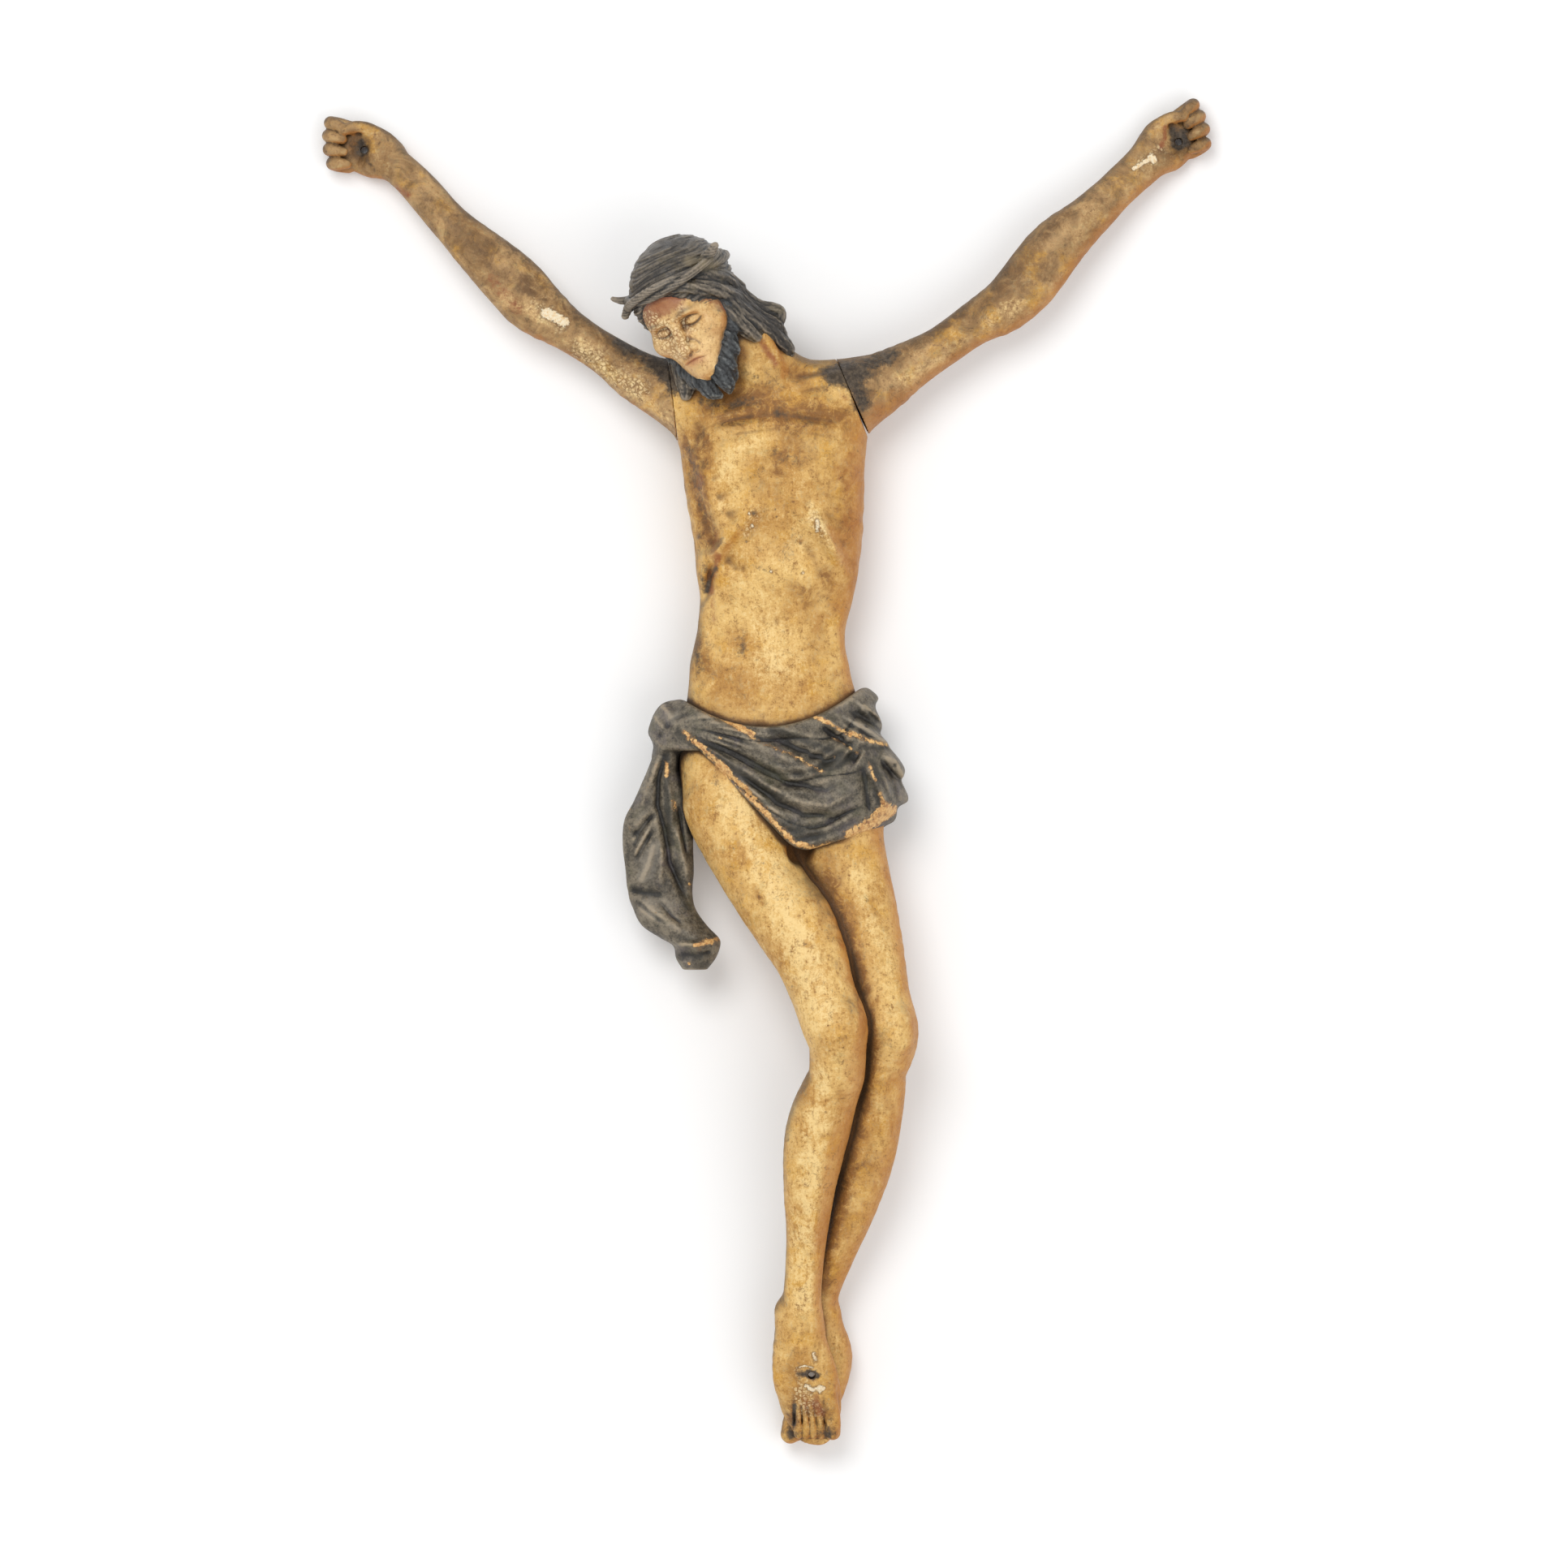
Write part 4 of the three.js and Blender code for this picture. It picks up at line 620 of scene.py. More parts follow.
def seam_gap(p):
    """Half the width of a seam, which closes inwards. The left one has opened below."""
    opening = SEAM_WIDTH / 2 + 0.5 * bell(p.y - 27, 9) * (p.x > 0)
    return 0.02 + (opening - 0.02) * smoothstep(p.z, 12, 24)


def arm(shape, hand_field, seam, nail):
    """A drilled arm with its hand, which leaves the trunk at a seam."""
    def field(p):
        whole = joined(p, shape(p), (4, hand_field), (9, trunk_and_neck))
        off, _ = seam_sides(p, seam)
        whole = np.maximum(worn(whole, p), seam_gap(p) - off)
        whole = np.maximum(whole, ARMPIT - p.y)
        return drilled(whole, p, nail)

    return field


# Legs

LEG_RIGHT = limb([
    (-19, -124, 31, 20, 20), (-16, -147, 35, 19.6, 19.5), (-0.5, -178.3, 44, 17.4, 17.5),
    (10, -193, 49, 17.8, 17.5), (17.5, -207.7, 54, 15.8, 16), (23.4, -225, 59, 14.2, 15),
    (28, -237.6, 62, 14.4, 15), (29.5, -246.6, 61, 12.7, 14), (28.8, -260, 56, 12.3, 12.6),
    (25.6, -268.6, 53, 13.1, 12.8), (21.4, -281.5, 49.5, 14.1, 13.2), (18.9, -294, 46.5, 13.4, 12.8),
    (16.9, -311, 42.5, 11.3, 11.5), (16, -327, 39, 9.5, 10), (15, -342.7, 36.5, 8.4, 9),
    (13.7, -358.6, 34, 8.5, 8.8), (12.9, -370, 32, 9.4, 9),
])
LEG_LEFT = limb([
    (24, -126, 29, 22, 20), (27, -150, 30, 22, 18.5), (32, -172, 31, 20.4, 17), (36.6, -188, 34, 19.2, 16.5),
    (42.4, -206.6, 38, 16.5, 15.5), (47.2, -225, 42, 14, 14.5), (50.4, -239, 45, 14.4, 15),
    (51, -247.7, 44.5, 13, 14), (48.4, -258, 41, 11.6, 12.5), (47, -266.8, 38.5, 12.6, 12.5),
    (42.6, -287.6, 34, 13.8, 13), (40, -300, 31, 13.4, 12.4), (36, -316.4, 27, 11.6, 11),
    (29.8, -334, 22.5, 9.8, 9.6), (23.4, -351, 18.5, 8.7, 8.8), (20.5, -361.8, 16, 8.6, 8.8),
    (20.2, -371, 14, 9, 9),
])
right_leg_marks = [  # knee, shin bone and ankle, each with its rounding
    (5, ellipsoid((31.5, -239.5, 73), (6.5, 8, 4.6))),
    (5, limb([(29, -256, 66, 2.4), (21.5, -290, 57.5, 2.2), (16.5, -335, 45.5, 2)])),
    (4, ellipsoid((6.2, -364, 31), (4.2, 5, 4.6))),
]
left_leg_marks = [
    (5, ellipsoid((54.5, -241, 56), (6.5, 8, 4.6))),
    (5, limb([(49, -257, 51.5, 2.4), (40.5, -295, 41.5, 2.2), (27, -340, 29, 2)])),
    (4, ellipsoid((26.5, -366, 14), (4, 5, 4.4))),
]


def legs(p):
    sides = []
    for shape, marks in ((LEG_RIGHT, right_leg_marks), (LEG_LEFT, left_leg_marks)):
        sides.append(joined(p, shape(p), *marks))
    return blend(*sides, 1.6)


# Feet: the right one lies over the left one, and both point down
foot_right = limb([
    (12.7, -368, 31, 9.2, 9), (13, -381, 30, 12, 8.6), (15, -393, 28, 14.2, 7.6), (17, -401, 25.4, 13.6, 6),
])
sole_right = limb([(17.4, -402, 21.6, 12, 4), (18.6, -410, 20.4, 11.6, 3), (19.4, -415.5, 19.6, 9.5, 2.2)])
foot_left = limb([
    (20.2, -369, 14.5, 9, 9), (24.6, -379, 11.5, 10, 9.6), (25.4, -389, 9.6, 10.4, 9.9),
    (20, -402, 9.8, 11, 8), (13.5, -413, 10, 8, 6), (8.6, -419.6, 10.5, 4.4, 4.6),
])
heel_right = ellipsoid((13, -374, 23), (9, 9, 9))
TOE_COUNT = 5
toes, toe_nails = [], []
for n in range(TOE_COUNT):
    big = n == TOE_COUNT - 1
    x = 12.2 + n * 3.3 + (1.9 if big else 0)
    r = 3.5 if big else 2
    tip = -419.4 + (r - 2) * 0.5
    toes.append(limb([
        (x * 0.8 + 3.2, -399, 29.6 - r * 0.4, r + 0.5), (x * 0.95 + 0.8, -408, 26.6 - r * 0.4, r),
        (x, -414, 24.6 - r * 0.3, r + 0.1), (x, tip, 20.6, r),
    ]))
    toe_nails.append(ellipsoid((x, tip - 0.5, 20.6 + r * 0.72), (r * 0.62, r * 0.8, r * 0.5)))
tendons = [
    limb([(13 + 0.6 * n, -381, 37.2, 0.9), (12.5 + 3.6 * n, -399, 31.4, 1.1)]) for n in range(TOE_COUNT - 1)
]
toe_gaps = strokes([
    (1.1, 0.7, 13.2, -404, 13.6, -411, 13.9, -417.5), (0.9, 0.6, 16, -406, 17.3, -417),
    (1.1, 0.7, 18.6, -403.5, 19.4, -411, 20.6, -418), (0.9, 0.7, 21.6, -405.5, 23, -412, 24.4, -418),
    (0.9, 0.9, 9.6, -405, 10.6, -411, 11.4, -417),
], 0.35)


def feet(p):
    upper = joined(
        p, foot_right(p), (5, heel_right), (3, sole_right), (2.4, *tendons), (0.6, *toes), (0.25, *toe_nails))
    if upper is not FAR:
        upper = upper + toe_gaps(p) * (p.z > 16)
    return joined(p, upper, (1.4, foot_left))


# Loincloth

CLOTH_LEVELS = [
    (-88, 1, 26, 39, 23), (-94, 3, 26, 44, 26), (-101, -0.9, 26, 48.4, 27.5), (-108, -2, 26.5, 50.4, 28.5),
    (-119, 2, 27, 53.3, 29.2), (-129.6, 7.2, 27.5, 51.8, 29.4), (-137, 9.4, 27.7, 50.4, 29.2),
    (-144, 9.2, 28, 47.4, 28.5), (-150, 8.2, 28, 44, 27), (-164, 8, 28, 40, 25),
]


def upper_hem(x):
    return -106.5 + 0.0095 * (x + 3) ** 2


def lower_hem(x):
    return -blend(150 + 1.05 * x, 160.5 - 0.3 * (x - 18), 9)


cloth_strokes = strokes([
    (1.9, 2.6, -44, -104, -29, -102, -10, -112, 5, -119.5, 20, -128, 30, -128, 38, -122),
    (-2.6, 2.4, -2, -110.5, 12, -116.5, 24, -121.5, 33, -121.5),
    (1.4, 2.2, -8, -107.5, 4, -106.8, 16, -110.5, 26, -115),
    (-2, 2, -30, -112.5, -16, -117.5, -4, -124.5, 8, -131.5, 24, -134.5, 35, -130),
    (1.7, 2.2, -40, -111, -26, -118, -6, -128.5, 4, -136, 15, -140, 26, -141.5, 38, -134),
    (-2.1, 2, -22, -123.5, -8, -132, 3, -140, 14, -145, 26, -146, 37, -143),
    (1.3, 2.2, -30, -119.5, -14, -129, -2, -141, 8, -149.5, 22, -153, 36, -150),
    (1.8, 1.8, 20, -101.5, 32, -107, 41, -112.5, 52, -114.5), (-2.1, 1.8, 21, -106, 31, -112.5, 38, -117),
    (1.7, 1.9, 31, -101.5, 43, -107.5, 54, -115, 60, -123), (-1.7, 1.7, 34, -99, 46, -105.5, 57, -114),
    (1.7, 1.9, 38, -95, 48, -103, 54, -109), (1.8, 1.9, 42, -121, 46, -130, 50, -138, 51, -146),
    (-1.9, 1.9, 45, -120, 53, -129, 57, -140), (1.6, 2.2, 47, -117.5, 56, -122, 62, -134),
    (-1.6, 2.2, 40, -123, 41.5, -134, 44, -148), (-1.5, 1.2, 26, -103, 36, -110, 46, -114),
    (-1.2, 1.1, 40, -97, 50, -107, 58, -118), (1.2, 1.4, 44, -118, 50, -127, 54, -140),
    (-1.2, 1.2, 48, -120, 56, -130, 60, -140), (-2.4, 3.4, 33, -118, 39, -121.5),
    (-1.2, 1.4, -52, -114, -44, -104, -32, -99),
], 0.3)
KNOT = (-46, -106)


def fanned_folds(p):
    """Folds that fan out from the knot and sag towards the other hip."""
    dx, dy = p.x - KNOT[0], p.y - KNOT[1]
    reach = np.hypot(dx, dy)
    sag = np.degrees(np.arctan2(-dy, np.maximum(dx, 0.5))) + 0.0061 * np.maximum(reach - 30, 0) ** 2
    turn = sag / 16.5 + 0.3 + 0.22 * np.sin(reach / 21 + 0.5) + 0.1 * np.sin(p.x / 7 + p.y / 9)
    ridge = np.sqrt(np.abs(np.sin(math.pi * turn))) - 0.62
    fine = wave(sag / 5.2 + 0.6 * np.sin(reach / 12)) * (0.2 + 0.2 * np.sin(p.x / 9 - p.y / 5))
    return (2 * ridge + fine) * smoothstep(reach, 6, 34) * fade(p.x, 30, 46)


def cloth_folds(p, cz, d):
    front = smoothstep((p.z - cz) / d, 0, 0.5)
    behind = 0.5 + 0.5 * wave((p.y + 0.006 * p.x * p.x) / 13)
    return front * (cloth_strokes(p) + fanned_folds(p)) + (1 - front) * (1.6 * behind - 0.8)


cloth_body = trunk(CLOTH_LEVELS, 2.15, cloth_folds)


def loincloth(p):
    body = cloth_body(p)
    if body is FAR:
        return FAR
    front = smoothstep(p.z, 6, 32)
    lower = -159 + (np.minimum(lower_hem(p.x), -117) + 159) * front
    upper = -98 + (upper_hem(p.x) + 98) * front
    return common(body, np.maximum(p.y - upper, lower - p.y), 3)


TAIL_LEVELS = [
    (-104, -41, 30, 4, 7), (-114, -44.5, 30, 5.6, 8), (-126, -47.6, 29, 7, 8), (-138.6, -47, 28, 13.2, 7.6),
    (-147.6, -49.4, 27, 15.4, 7.2), (-158.4, -50, 26, 15.6, 6.8), (-169.2, -49.3, 25.5, 15.1, 6.4),
    (-180, -49, 25, 14.3, 6.4), (-187.2, -47, 25, 13.8, 7), (-194.4, -42.6, 26, 14.4, 7.6),
    (-199.8, -36, 27, 13, 8), (-203.4, -32.8, 28, 10.4, 8), (-208.8, -33.2, 28, 8.8, 7),
    (-213.6, -33.6, 27, 5.5, 4.5),
]
tail_strokes = strokes([
    (-2.4, 1.7, -45.5, -113, -49.5, -129, -50, -141, -47, -152, -45, -166, -40, -178, -36, -185),
    (1.3, 2.2, -48.5, -118, -54.5, -132, -59, -146), (-1.6, 1.7, -50.5, -144, -56, -149.5, -61.5, -156),
    (1.3, 2, -47.5, -157, -48.5, -168, -49.5, -177), (1.2, 1.8, -51.5, -157, -54, -167, -58, -176),
    (-1.3, 2.2, -64, -178, -56, -180, -46, -181), (1.6, 3.4, -60, -185.5, -50, -190, -40, -196, -30, -198),
    (1.5, 2, -43, -148, -40, -158, -36, -176), (2, 1.6, -43.5, -202.6, -33, -202.8, -23.5, -200.5),
    (-1.6, 2, -42, -207, -33, -207.5, -24, -205), (-0.9, 0.9, -53, -146, -57, -152, -61, -160),
    (-0.9, 0.9, -52, -152, -56, -159, -60.5, -167), (0.8, 0.9, -53, -150, -57, -157, -61, -164),
    (-1.2, 1, -41, -140, -39.5, -152, -37, -166), (-1, 1.1, -50, -183, -44, -190, -38, -195),
    (-0.9, 1, -60, -183, -53, -189, -46, -194), (0.9, 1.4, -46, -128, -44, -140, -44, -154),
], 0.25)
tail = trunk(TAIL_LEVELS, 2, lambda p, cz, d: smoothstep(p.z, cz - 3, cz + 3) * tail_strokes(p))
gather_bulge = ellipsoid((-44, -107, 29), (9, 12, 12))


def cloth(p):
    knot_folds = 0.7 * np.cos(0.8 * (p.x + 0.8 * p.y)) * smoothstep(p.z, 28, 40)
    d = blend(loincloth(p), gather_bulge(p) - knot_folds, 3)
    return joined(p, d, (2.2, tail))


# Paint strokes, seen from the front: (strength, width, x, y, x, y, ...)

tone_light_and_shade_marks = strokes([
    # chest and flanks
    # The first marks darken the top of the chest under the beard, partly brown and partly painted shadow;
    # those down the right flank, near x -38 to -25, are brown with painted shade.
    (-1, 6, -26, 36, -14, 33, 0, 31, 14, 30), (-0.8, 5, -20, 42, -8, 40, 6, 38), (-0.6, 6, 22, 34, 32, 30),
    (-0.7, 4, 18, 33, 29, 30), (-0.55, 5, -1, 14, 12, 12), (-0.4, 3, 3, 8, 7, 3), (-0.7, 5, -38, 22, -34, 8),
    (-0.6, 3.5, -28, 20, -27, 8), (-0.7, 3, -32, 2, -29, -8), (-0.6, 3.5, -30, -12, -25, -25),
    (-0.45, 4, -14, -64, -9, -71), (-0.75, 3.4, -32, -71, -29, -81), (-0.7, 2, 18.7, -77),
    (-0.5, 4, 11, -45, 16, -52), (-0.5, 4, 23, -39, 28, -46), (-0.4, 6, -22, -88, -4, -93, 14, -88),
    (-0.35, 8, 36, 20, 38, -6, 36, -30), (0.5, 5, -8, 19, -2, 17), (0.5, 7, -23, 7, -16, -3),
    # The first two here are painted highlights along the ridges of the rib arch.
    (0.45, 3.5, -25, -8, -16, -14), (0.9, 2.6, 18, -9, 24, -20, 31, -34), (0.4, 9, 14, -20, 10, -32),
    (0.65, 12, -2, -70, 6, -84), (0.3, 10, -12, -36, -8, -52), (-0.3, 15, 4, 4), (-0.25, 8, 30, 2, 32, -20),
    # thighs, knees and shins
    (-0.7, 2, -18, -148, -14, -158, -10, -167), (-0.9, 1.5, -7, -177, -3.6, -184.5), (-0.6, 2.4, -1.8, -169),
    (-0.6, 2.2, 12.6, -185), (-0.8, 2, 16, -202), (-0.9, 1.3, 28.8, -199.8, 31, -203),
    (-0.8, 1.3, 44, -183, 46.5, -189), (-0.6, 3.2, 46.8, -226.8), (-0.6, 4, 16, -268, 24, -272),
    (-0.5, 3, 28, -262, 31, -270), (0.45, 4, -40, -128, -37, -154),
    # The first here, and the last on the line above, are light bands down the right thigh, partly painted
    # highlight.
    (1.0, 8, -18, -140, -2, -170, 12, -200, 22, -232), (0.9, 6, 23, -262, 17, -300, 14, -360),
    (0.45, 6, 38, -172, 49, -205, 54, -236),
    # Painted shade down the inner side of the left leg, between the legs.
    (-1, 3.8, 26, -172, 35, -198, 40, -222, 44.5, -246, 42.5, -265, 38, -287, 33, -306, 29, -325, 23, -352),
    (-0.25, 7, 50, -262, 42, -292, 32, -325), (-0.5, 5, -31, 20, -35, 6, -31, -6, -31, -22),
    (-0.4, 7, -26, 34, 0, 29, 20, 26), (-0.5, 4, 8, 52, 16, 47), (-0.5, 4, 17, -45, 24, -43),
    (-0.5, 4, -16, -66, -12, -73), (-0.6, 3.5, 36, -34, 38, -42), (0.4, 5, -6, 23, -18, 12),
    # feet
    (-0.6, 5, 14, -388, 12, -400), (-0.5, 4, 26, -392, 27, -402), (-0.9, 4, 9, -408, 12, -419, 20, -421),
    (-0.7, 3.4, 16, -406, 26, -410, 27, -418),
    # arms
    (-0.25, 6, -104, 86, -126, 106, -146, 124), (0.5, 5, -86, 62, -64, 44), (-0.9, 1.4, -108, 86, -100, 82),
    (-0.5, 3.5, -108, 90), (-0.25, 5, -118, 92, -128, 104), (-0.25, 4, -150, 124, -162, 138),
    (0.5, 3, -98, 72, -118, 84), (0.4, 3.5, -60, 42, -44, 28), (-0.3, 5, 112, 86, 122, 98),
    (-0.25, 5, 140, 120, 156, 134), (-0.8, 4, -184, 153, -181, 146), (-0.8, 4, 181, 157, 179, 150),
    (-0.55, 2.6, 96, 82, 108, 92, 118, 108, 132, 122), (-0.6, 2.6, 60, 60, 76, 70, 88, 80),
    (-0.5, 2.6, -72, 64, -92, 79, -106, 96, -120, 112), (0.45, 4, 96, 72, 112, 82), (0.4, 4, 56, 46, 76, 56),
])
red_marks = strokes([
    (0.8, 2.2, -22.7, -31.5, -27.5, -45), (0.6, 2, -26, -47, -25, -61), (0.5, 2.6, -24, -22, -26, -31),
    (0.8, 0.9, 30, 2.9), (0.5, 3, -31, 4, -31, -6), (0.6, 2.2, 19, -405, 23, -410),
    (0.9, 2.2, -4, 62.7, -1, 58, 2, 53.5), (0.5, 2.5, 30, 41, 36, 36), (0.5, 2.5, -66, 46, -52, 38),
    (0.9, 1.5, 174.4, 159, 174.4, 154, 172.6, 150), (0.7, 1.8, 14.5, -402, 16, -409),
    (0.6, 1.8, 20, -402, 20.5, -410), (0.8, 2.4, -166, 132, -161, 129), (0.6, 4, -124, 92, -112, 78),
    (0.6, 1.6, 14, -392, 22, -397),
])
gesso_marks = strokes([
    (1, 3.2, -99.5, 76.5, -95, 74.5, -91.5, 72.5), (1, 2.2, 168.5, 145.8, 169.5, 144.6),
    (0.9, 1.3, 166, 144, 160.5, 140.5), (0.9, 1.1, -9.5, -12.6), (0.95, 1.2, -8.3, -18),
    (0.7, 0.9, -10.8, -25), (0.9, 0.9, 0, -38), (0.9, 1, 14, -38.7), (0.8, 1.5, 20.5, -16, 20.5, -20),
    (0.7, 0.7, 13, -25.6), (0.75, 1.5, 19, -383.5, 19.6, -386),
    (0.85, 1.5, 15.5, -397.5, 18.5, -399.4, 21.5, -398), (0.8, 1, 21.5, -400.5, 23.5, -398.5),
    (0.7, 0.8, 11.5, -389.6, 15, -388.6, 18.5, -389.4),
])
dark_marks = strokes([
    (1, 6.5, -66, 63, -54, 57, -44, 54, -36, 56), (1, 5, -48, 52, -43, 44),
    (1, 5.5, 26, 49, 40, 51.5, 52, 57), (1, 4.5, 33, 49, 38.5, 42, 41, 35),
    (0.6, 3.5, -30, 38, -18, 35, -6, 37), (0.5, 3, 2, 32, 14, 31),
    (0.5, 4, 3, 14, 9, 11), (0.5, 3.5, -35, 16, -33, 2, -30, -14), (0.5, 2.5, -29, -36, -30, -46),
    (0.9, 1.2, -24.5, -36.5, -26.3, -41, -28.2, -46.5), (0.45, 3, -12, 50, -2, 46, 6, 44),
    (0.5, 3, -33, -74, -31, -82), (0.4, 4, -14, -66, -12, -74), (0.9, 1.7, 12.4, -392.4, 16, -392),
    (1.5, 2.3, 18, -393), (1.4, 2.1, 180.6, 152.7), (1.4, 2.1, -180.2, 149.2), (0.6, 3, -184, 152, -181, 147),
    (0.6, 3, 182, 157, 181, 150), (0.5, 3, 8, -418, 13, -421), (0.45, 3, 23, -418, 28, -418),
    (0.4, 3, 9.5, -406, 10, -414), (0.35, 4, 16, -408, 25, -412), (0.8, 1.3, 19.5, -392, 21, -393),
    (1, 1.7, 177.5, 158.5), (0.8, 2.6, 178, 156, 180, 152), (0.6, 3, 184, 158, 186, 151),
    (1, 1.5, -181.4, 152.6), (0.55, 1.6, -178, 144, -176, 140), (0.8, 1.3, 25.5, -420), (0.8, 2, 8.6, -420),
    (0.9, 0.8, 10.2, -406, 10.2, -415), (0.8, 1.6, -7.5, -12.5), (0.9, 0.8, 1.8, -10.8), (0.9, 0.8, 2.5, -14),
])
speck_marks = strokes([
    (1, 2.2, 15, -201, 16, -203), (1, 1.4, -5.7, -177, -4.5, -185), (0.9, 1.5, 15, -184),
    (0.9, 1.6, 24.7, -199.5, 28.8, -200.3), (0.9, 1, 9.9, -221), (1, 1.3, 31.3, -248, 31.8, -257),
    (0.8, 1.5, 35.4, -253), (0.9, 2.4, 16.5, -266), (1, 1.5, 30.5, -271, 34.6, -270.2),
    (0.9, 1.8, 24, -276, 27, -279), (0.9, 1.2, 45, -182, 46, -188), (0.9, 2, 47, -226.6),
    (0.8, 1.4, 0.1, -11.6), (0.8, 1.2, 31, 3.6), (0.8, 1.5, -9.6, -15), (0.7, 2, -13.7, -69),
    (0.8, 2.2, -32, -77), (0.8, 1.2, 18.7, -79.6), (0.7, 3, -28, -10, -30, -26), (0.7, 3, 18, -406, 14, -414),
    (0.8, 3, 10, -405, 9, -416), (0.7, 3, 24, -404, 25, -414), (0.7, 3, 17, -388, 20, -394),
    (0.7, 4, -106, 88, -96, 80), (0.7, 4, -184, 152, -176, 148), (0.7, 4, 178, 156, 186, 150),
    (0.6, 4, -20, -8, -2, -12), (0.6, 5, -6, 28, 14, 26),
])
peel_marks = strokes([
    (0.7, 6, -84, 60, -70, 50, -58, 43), (0.6, 5, -104, 80, -94, 70), (0.5, 5, 12, -392, 16, -412),
    (0.3, 5, 13, -402, 24, -410), (0.6, 4, -6, -12, -10, -20), (0.6, 4, 18, -14, 24, -24),
    (0.5, 5, 164, 142, 172, 148),
])
face_tones = strokes([
    (-0.4, 6, -52, 80, -44, 84), (0.2, 6, -34, 66),
])
face_reds = strokes([
    (1.2, 5.5, -58, 71, -51, 76.5, -43, 81), (0.7, 2.4, -35, 84, -27, 81.5, -19, 77),
])
face_peels = strokes([
    (1, 7, -54, 71, -46, 66, -40, 60), (0.5, 4, -40, 76, -34, 70),
])
bare_marks = strokes([
    (0.65, 1.4, -18, -104, -4, -114, 8, -118, 22, -126), (0.8, 1.4, 18.7, -101.9, 34, -109, 51, -114.8),
    (0.65, 0.9, 27, -111, 38, -118), (0.65, 1, 43, -122, 46, -130), (1, 1.6, -29, -99, -18, -104, -8, -109.5),
    (1, 1.9, -22, -124, -8, -138, 3, -150, 10, -157, 20, -160.5, 32, -157.5, 42, -152, 55, -143),
    (0.8, 2.2, 34, -153, 44, -147, 52, -141), (0.9, 2, -38, -109, -30, -116, -20, -126),
    (0.8, 1.4, 48, -136, 51, -146), (0.8, 1.1, -22.5, -111.5), (0.8, 1.1, 28, -120),
    (0.9, 1.3, -46, -123, -46, -128), (0.8, 1.4, -43, -139, -42, -143), (0.7, 1, -62.5, -143),
    (0.7, 1, -36, -176), (0.9, 1.8, -33, -203, -23, -200), (0.8, 1, -36, -211),
    (0.7, 1.6, -47, -90, -36, -91),
])
# Painted highlights with dust, along the cloth's fold ridges.
ridge_highlights_and_dust = strokes([
    (1, 0.8, 38, -95.5, 48, -106), (1, 0.7, 31.7, -101.9, 53.3, -114.8), (0.6, 2, -57, -174, -52, -160),
    (0.6, 4, -57, -146, -57, -172), (0.5, 5, 22, -134, 35, -134), (0.7, 4, -54, -184, -40, -185),
    (0.6, 4, -52, -100, -44, -101), (0.6, 2.4, -52, -172, -50, -158),
    (0.5, 4, -60, -186, -48, -192, -36, -198), (0.5, 3, -44, -104, -28, -102), (0.5, 5, 52, -120, 58, -134),
    (0.4, 6, 40, -100, 52, -112),
])
# Painted shade in the cloth's fold valleys, and on the lower hem over the hollow between the thighs.
cloth_fold_shade = strokes([
    (0.9, 5, 6, -151, 20, -154), (0.9, 2.4, 0, -107.5, 14, -112, 28, -118), (1, 3.4, 20, -126, 34, -120),
    (0.9, 2.8, -41, -109, -26, -117, -12, -128, 4, -138), (0.8, 3, 38, -100, 46, -103),
    (0.9, 2.6, 45, -122, 48, -140), (0.9, 2, -46, -118, -46, -140, -44, -158),
    (0.8, 2.6, -42, -166, -38, -186), (0.7, 2.4, -60, -178, -50, -181), (0.8, 3, -42, -208, -28, -208),
])
hair_darks = strokes([
    (1, 4, -12, 82, -4, 76, 2, 70), (0.8, 3, -22, 94, -14, 88), (1, 3, 3, 66, 8, 57),
    (0.7, 2.6, -60, 84, -50, 94, -38, 102), (0.7, 3, -40, 108, -52, 104),
])
hair_pales = strokes([
    (0.8, 4, -36, 98, -24, 96), (0.7, 1.6, -26, 107, -20, 109), (0.6, 2, 0, 78, 5, 77),
])


# Nail holes, and the wear of the wood

NAIL_RADIUS = 1.6
NAIL_FEET = (18, -393)
NAIL_LEFT = (HAND_LEFT[0] + 2, HAND_LEFT[1] - 0.5)
NAIL_RIGHT = (HAND_RIGHT[0] + 1.5, HAND_RIGHT[1])


def uneven(p):
    """The small unevenness that a knife and thick paint leave."""
    return 0.16 * noise(p, 15, 1) + 0.07 * noise(p, 5.5, 2)


def worn(d, p):
    """A field with its unevenness and the hollows of its chips."""
    if d is FAR:
        return FAR
    return d + uneven(p) + 0.45 * np.clip(gesso_marks(p), 0, 1) * (p.z > 12)


def drilled(d, p, nail):
    return cut(d, np.hypot(p.x - nail[0], p.y - nail[1]) - NAIL_RADIUS, 0.5)


def arm_roots(p):
    return np.maximum(np.minimum(ARM_LEFT(p), ARM_RIGHT(p)), np.abs(p.x) - 58)


under_hem = ellipsoid((12.5, -162, 49), (5.5, 5.5, 9))
near_roots = near((-58, 18, 4), (58, 66, 48), arm_roots)


def flesh(p):
    """Trunk, neck, legs and feet, without the arms and the head."""
    d = cut(joined(p, trunk_and_neck(p), (9, near_roots), (5, legs)), under_hem(p), 2)
    d = worn(joined(p, d, (4, feet)), p)
    for seam in (SEAM_LEFT, SEAM_RIGHT):
        off, along = seam_sides(p, seam)
        block = np.maximum(-(off + seam_gap(p)), np.maximum(SEAM_SPAN[0] - along, along - SEAM_SPAN[1]))
        d = np.maximum(d, -np.maximum(block, p.z - SEAM_TOP))
    return drilled(d, p, NAIL_FEET)


# Meshing

COARSE_CUBE, MIDDLE_CUBE, FINE_CUBE = 40, 20, 12  # the cubes in which a field is worked out
CUBE_LIMIT = 4096  # more than the cubes along any axis


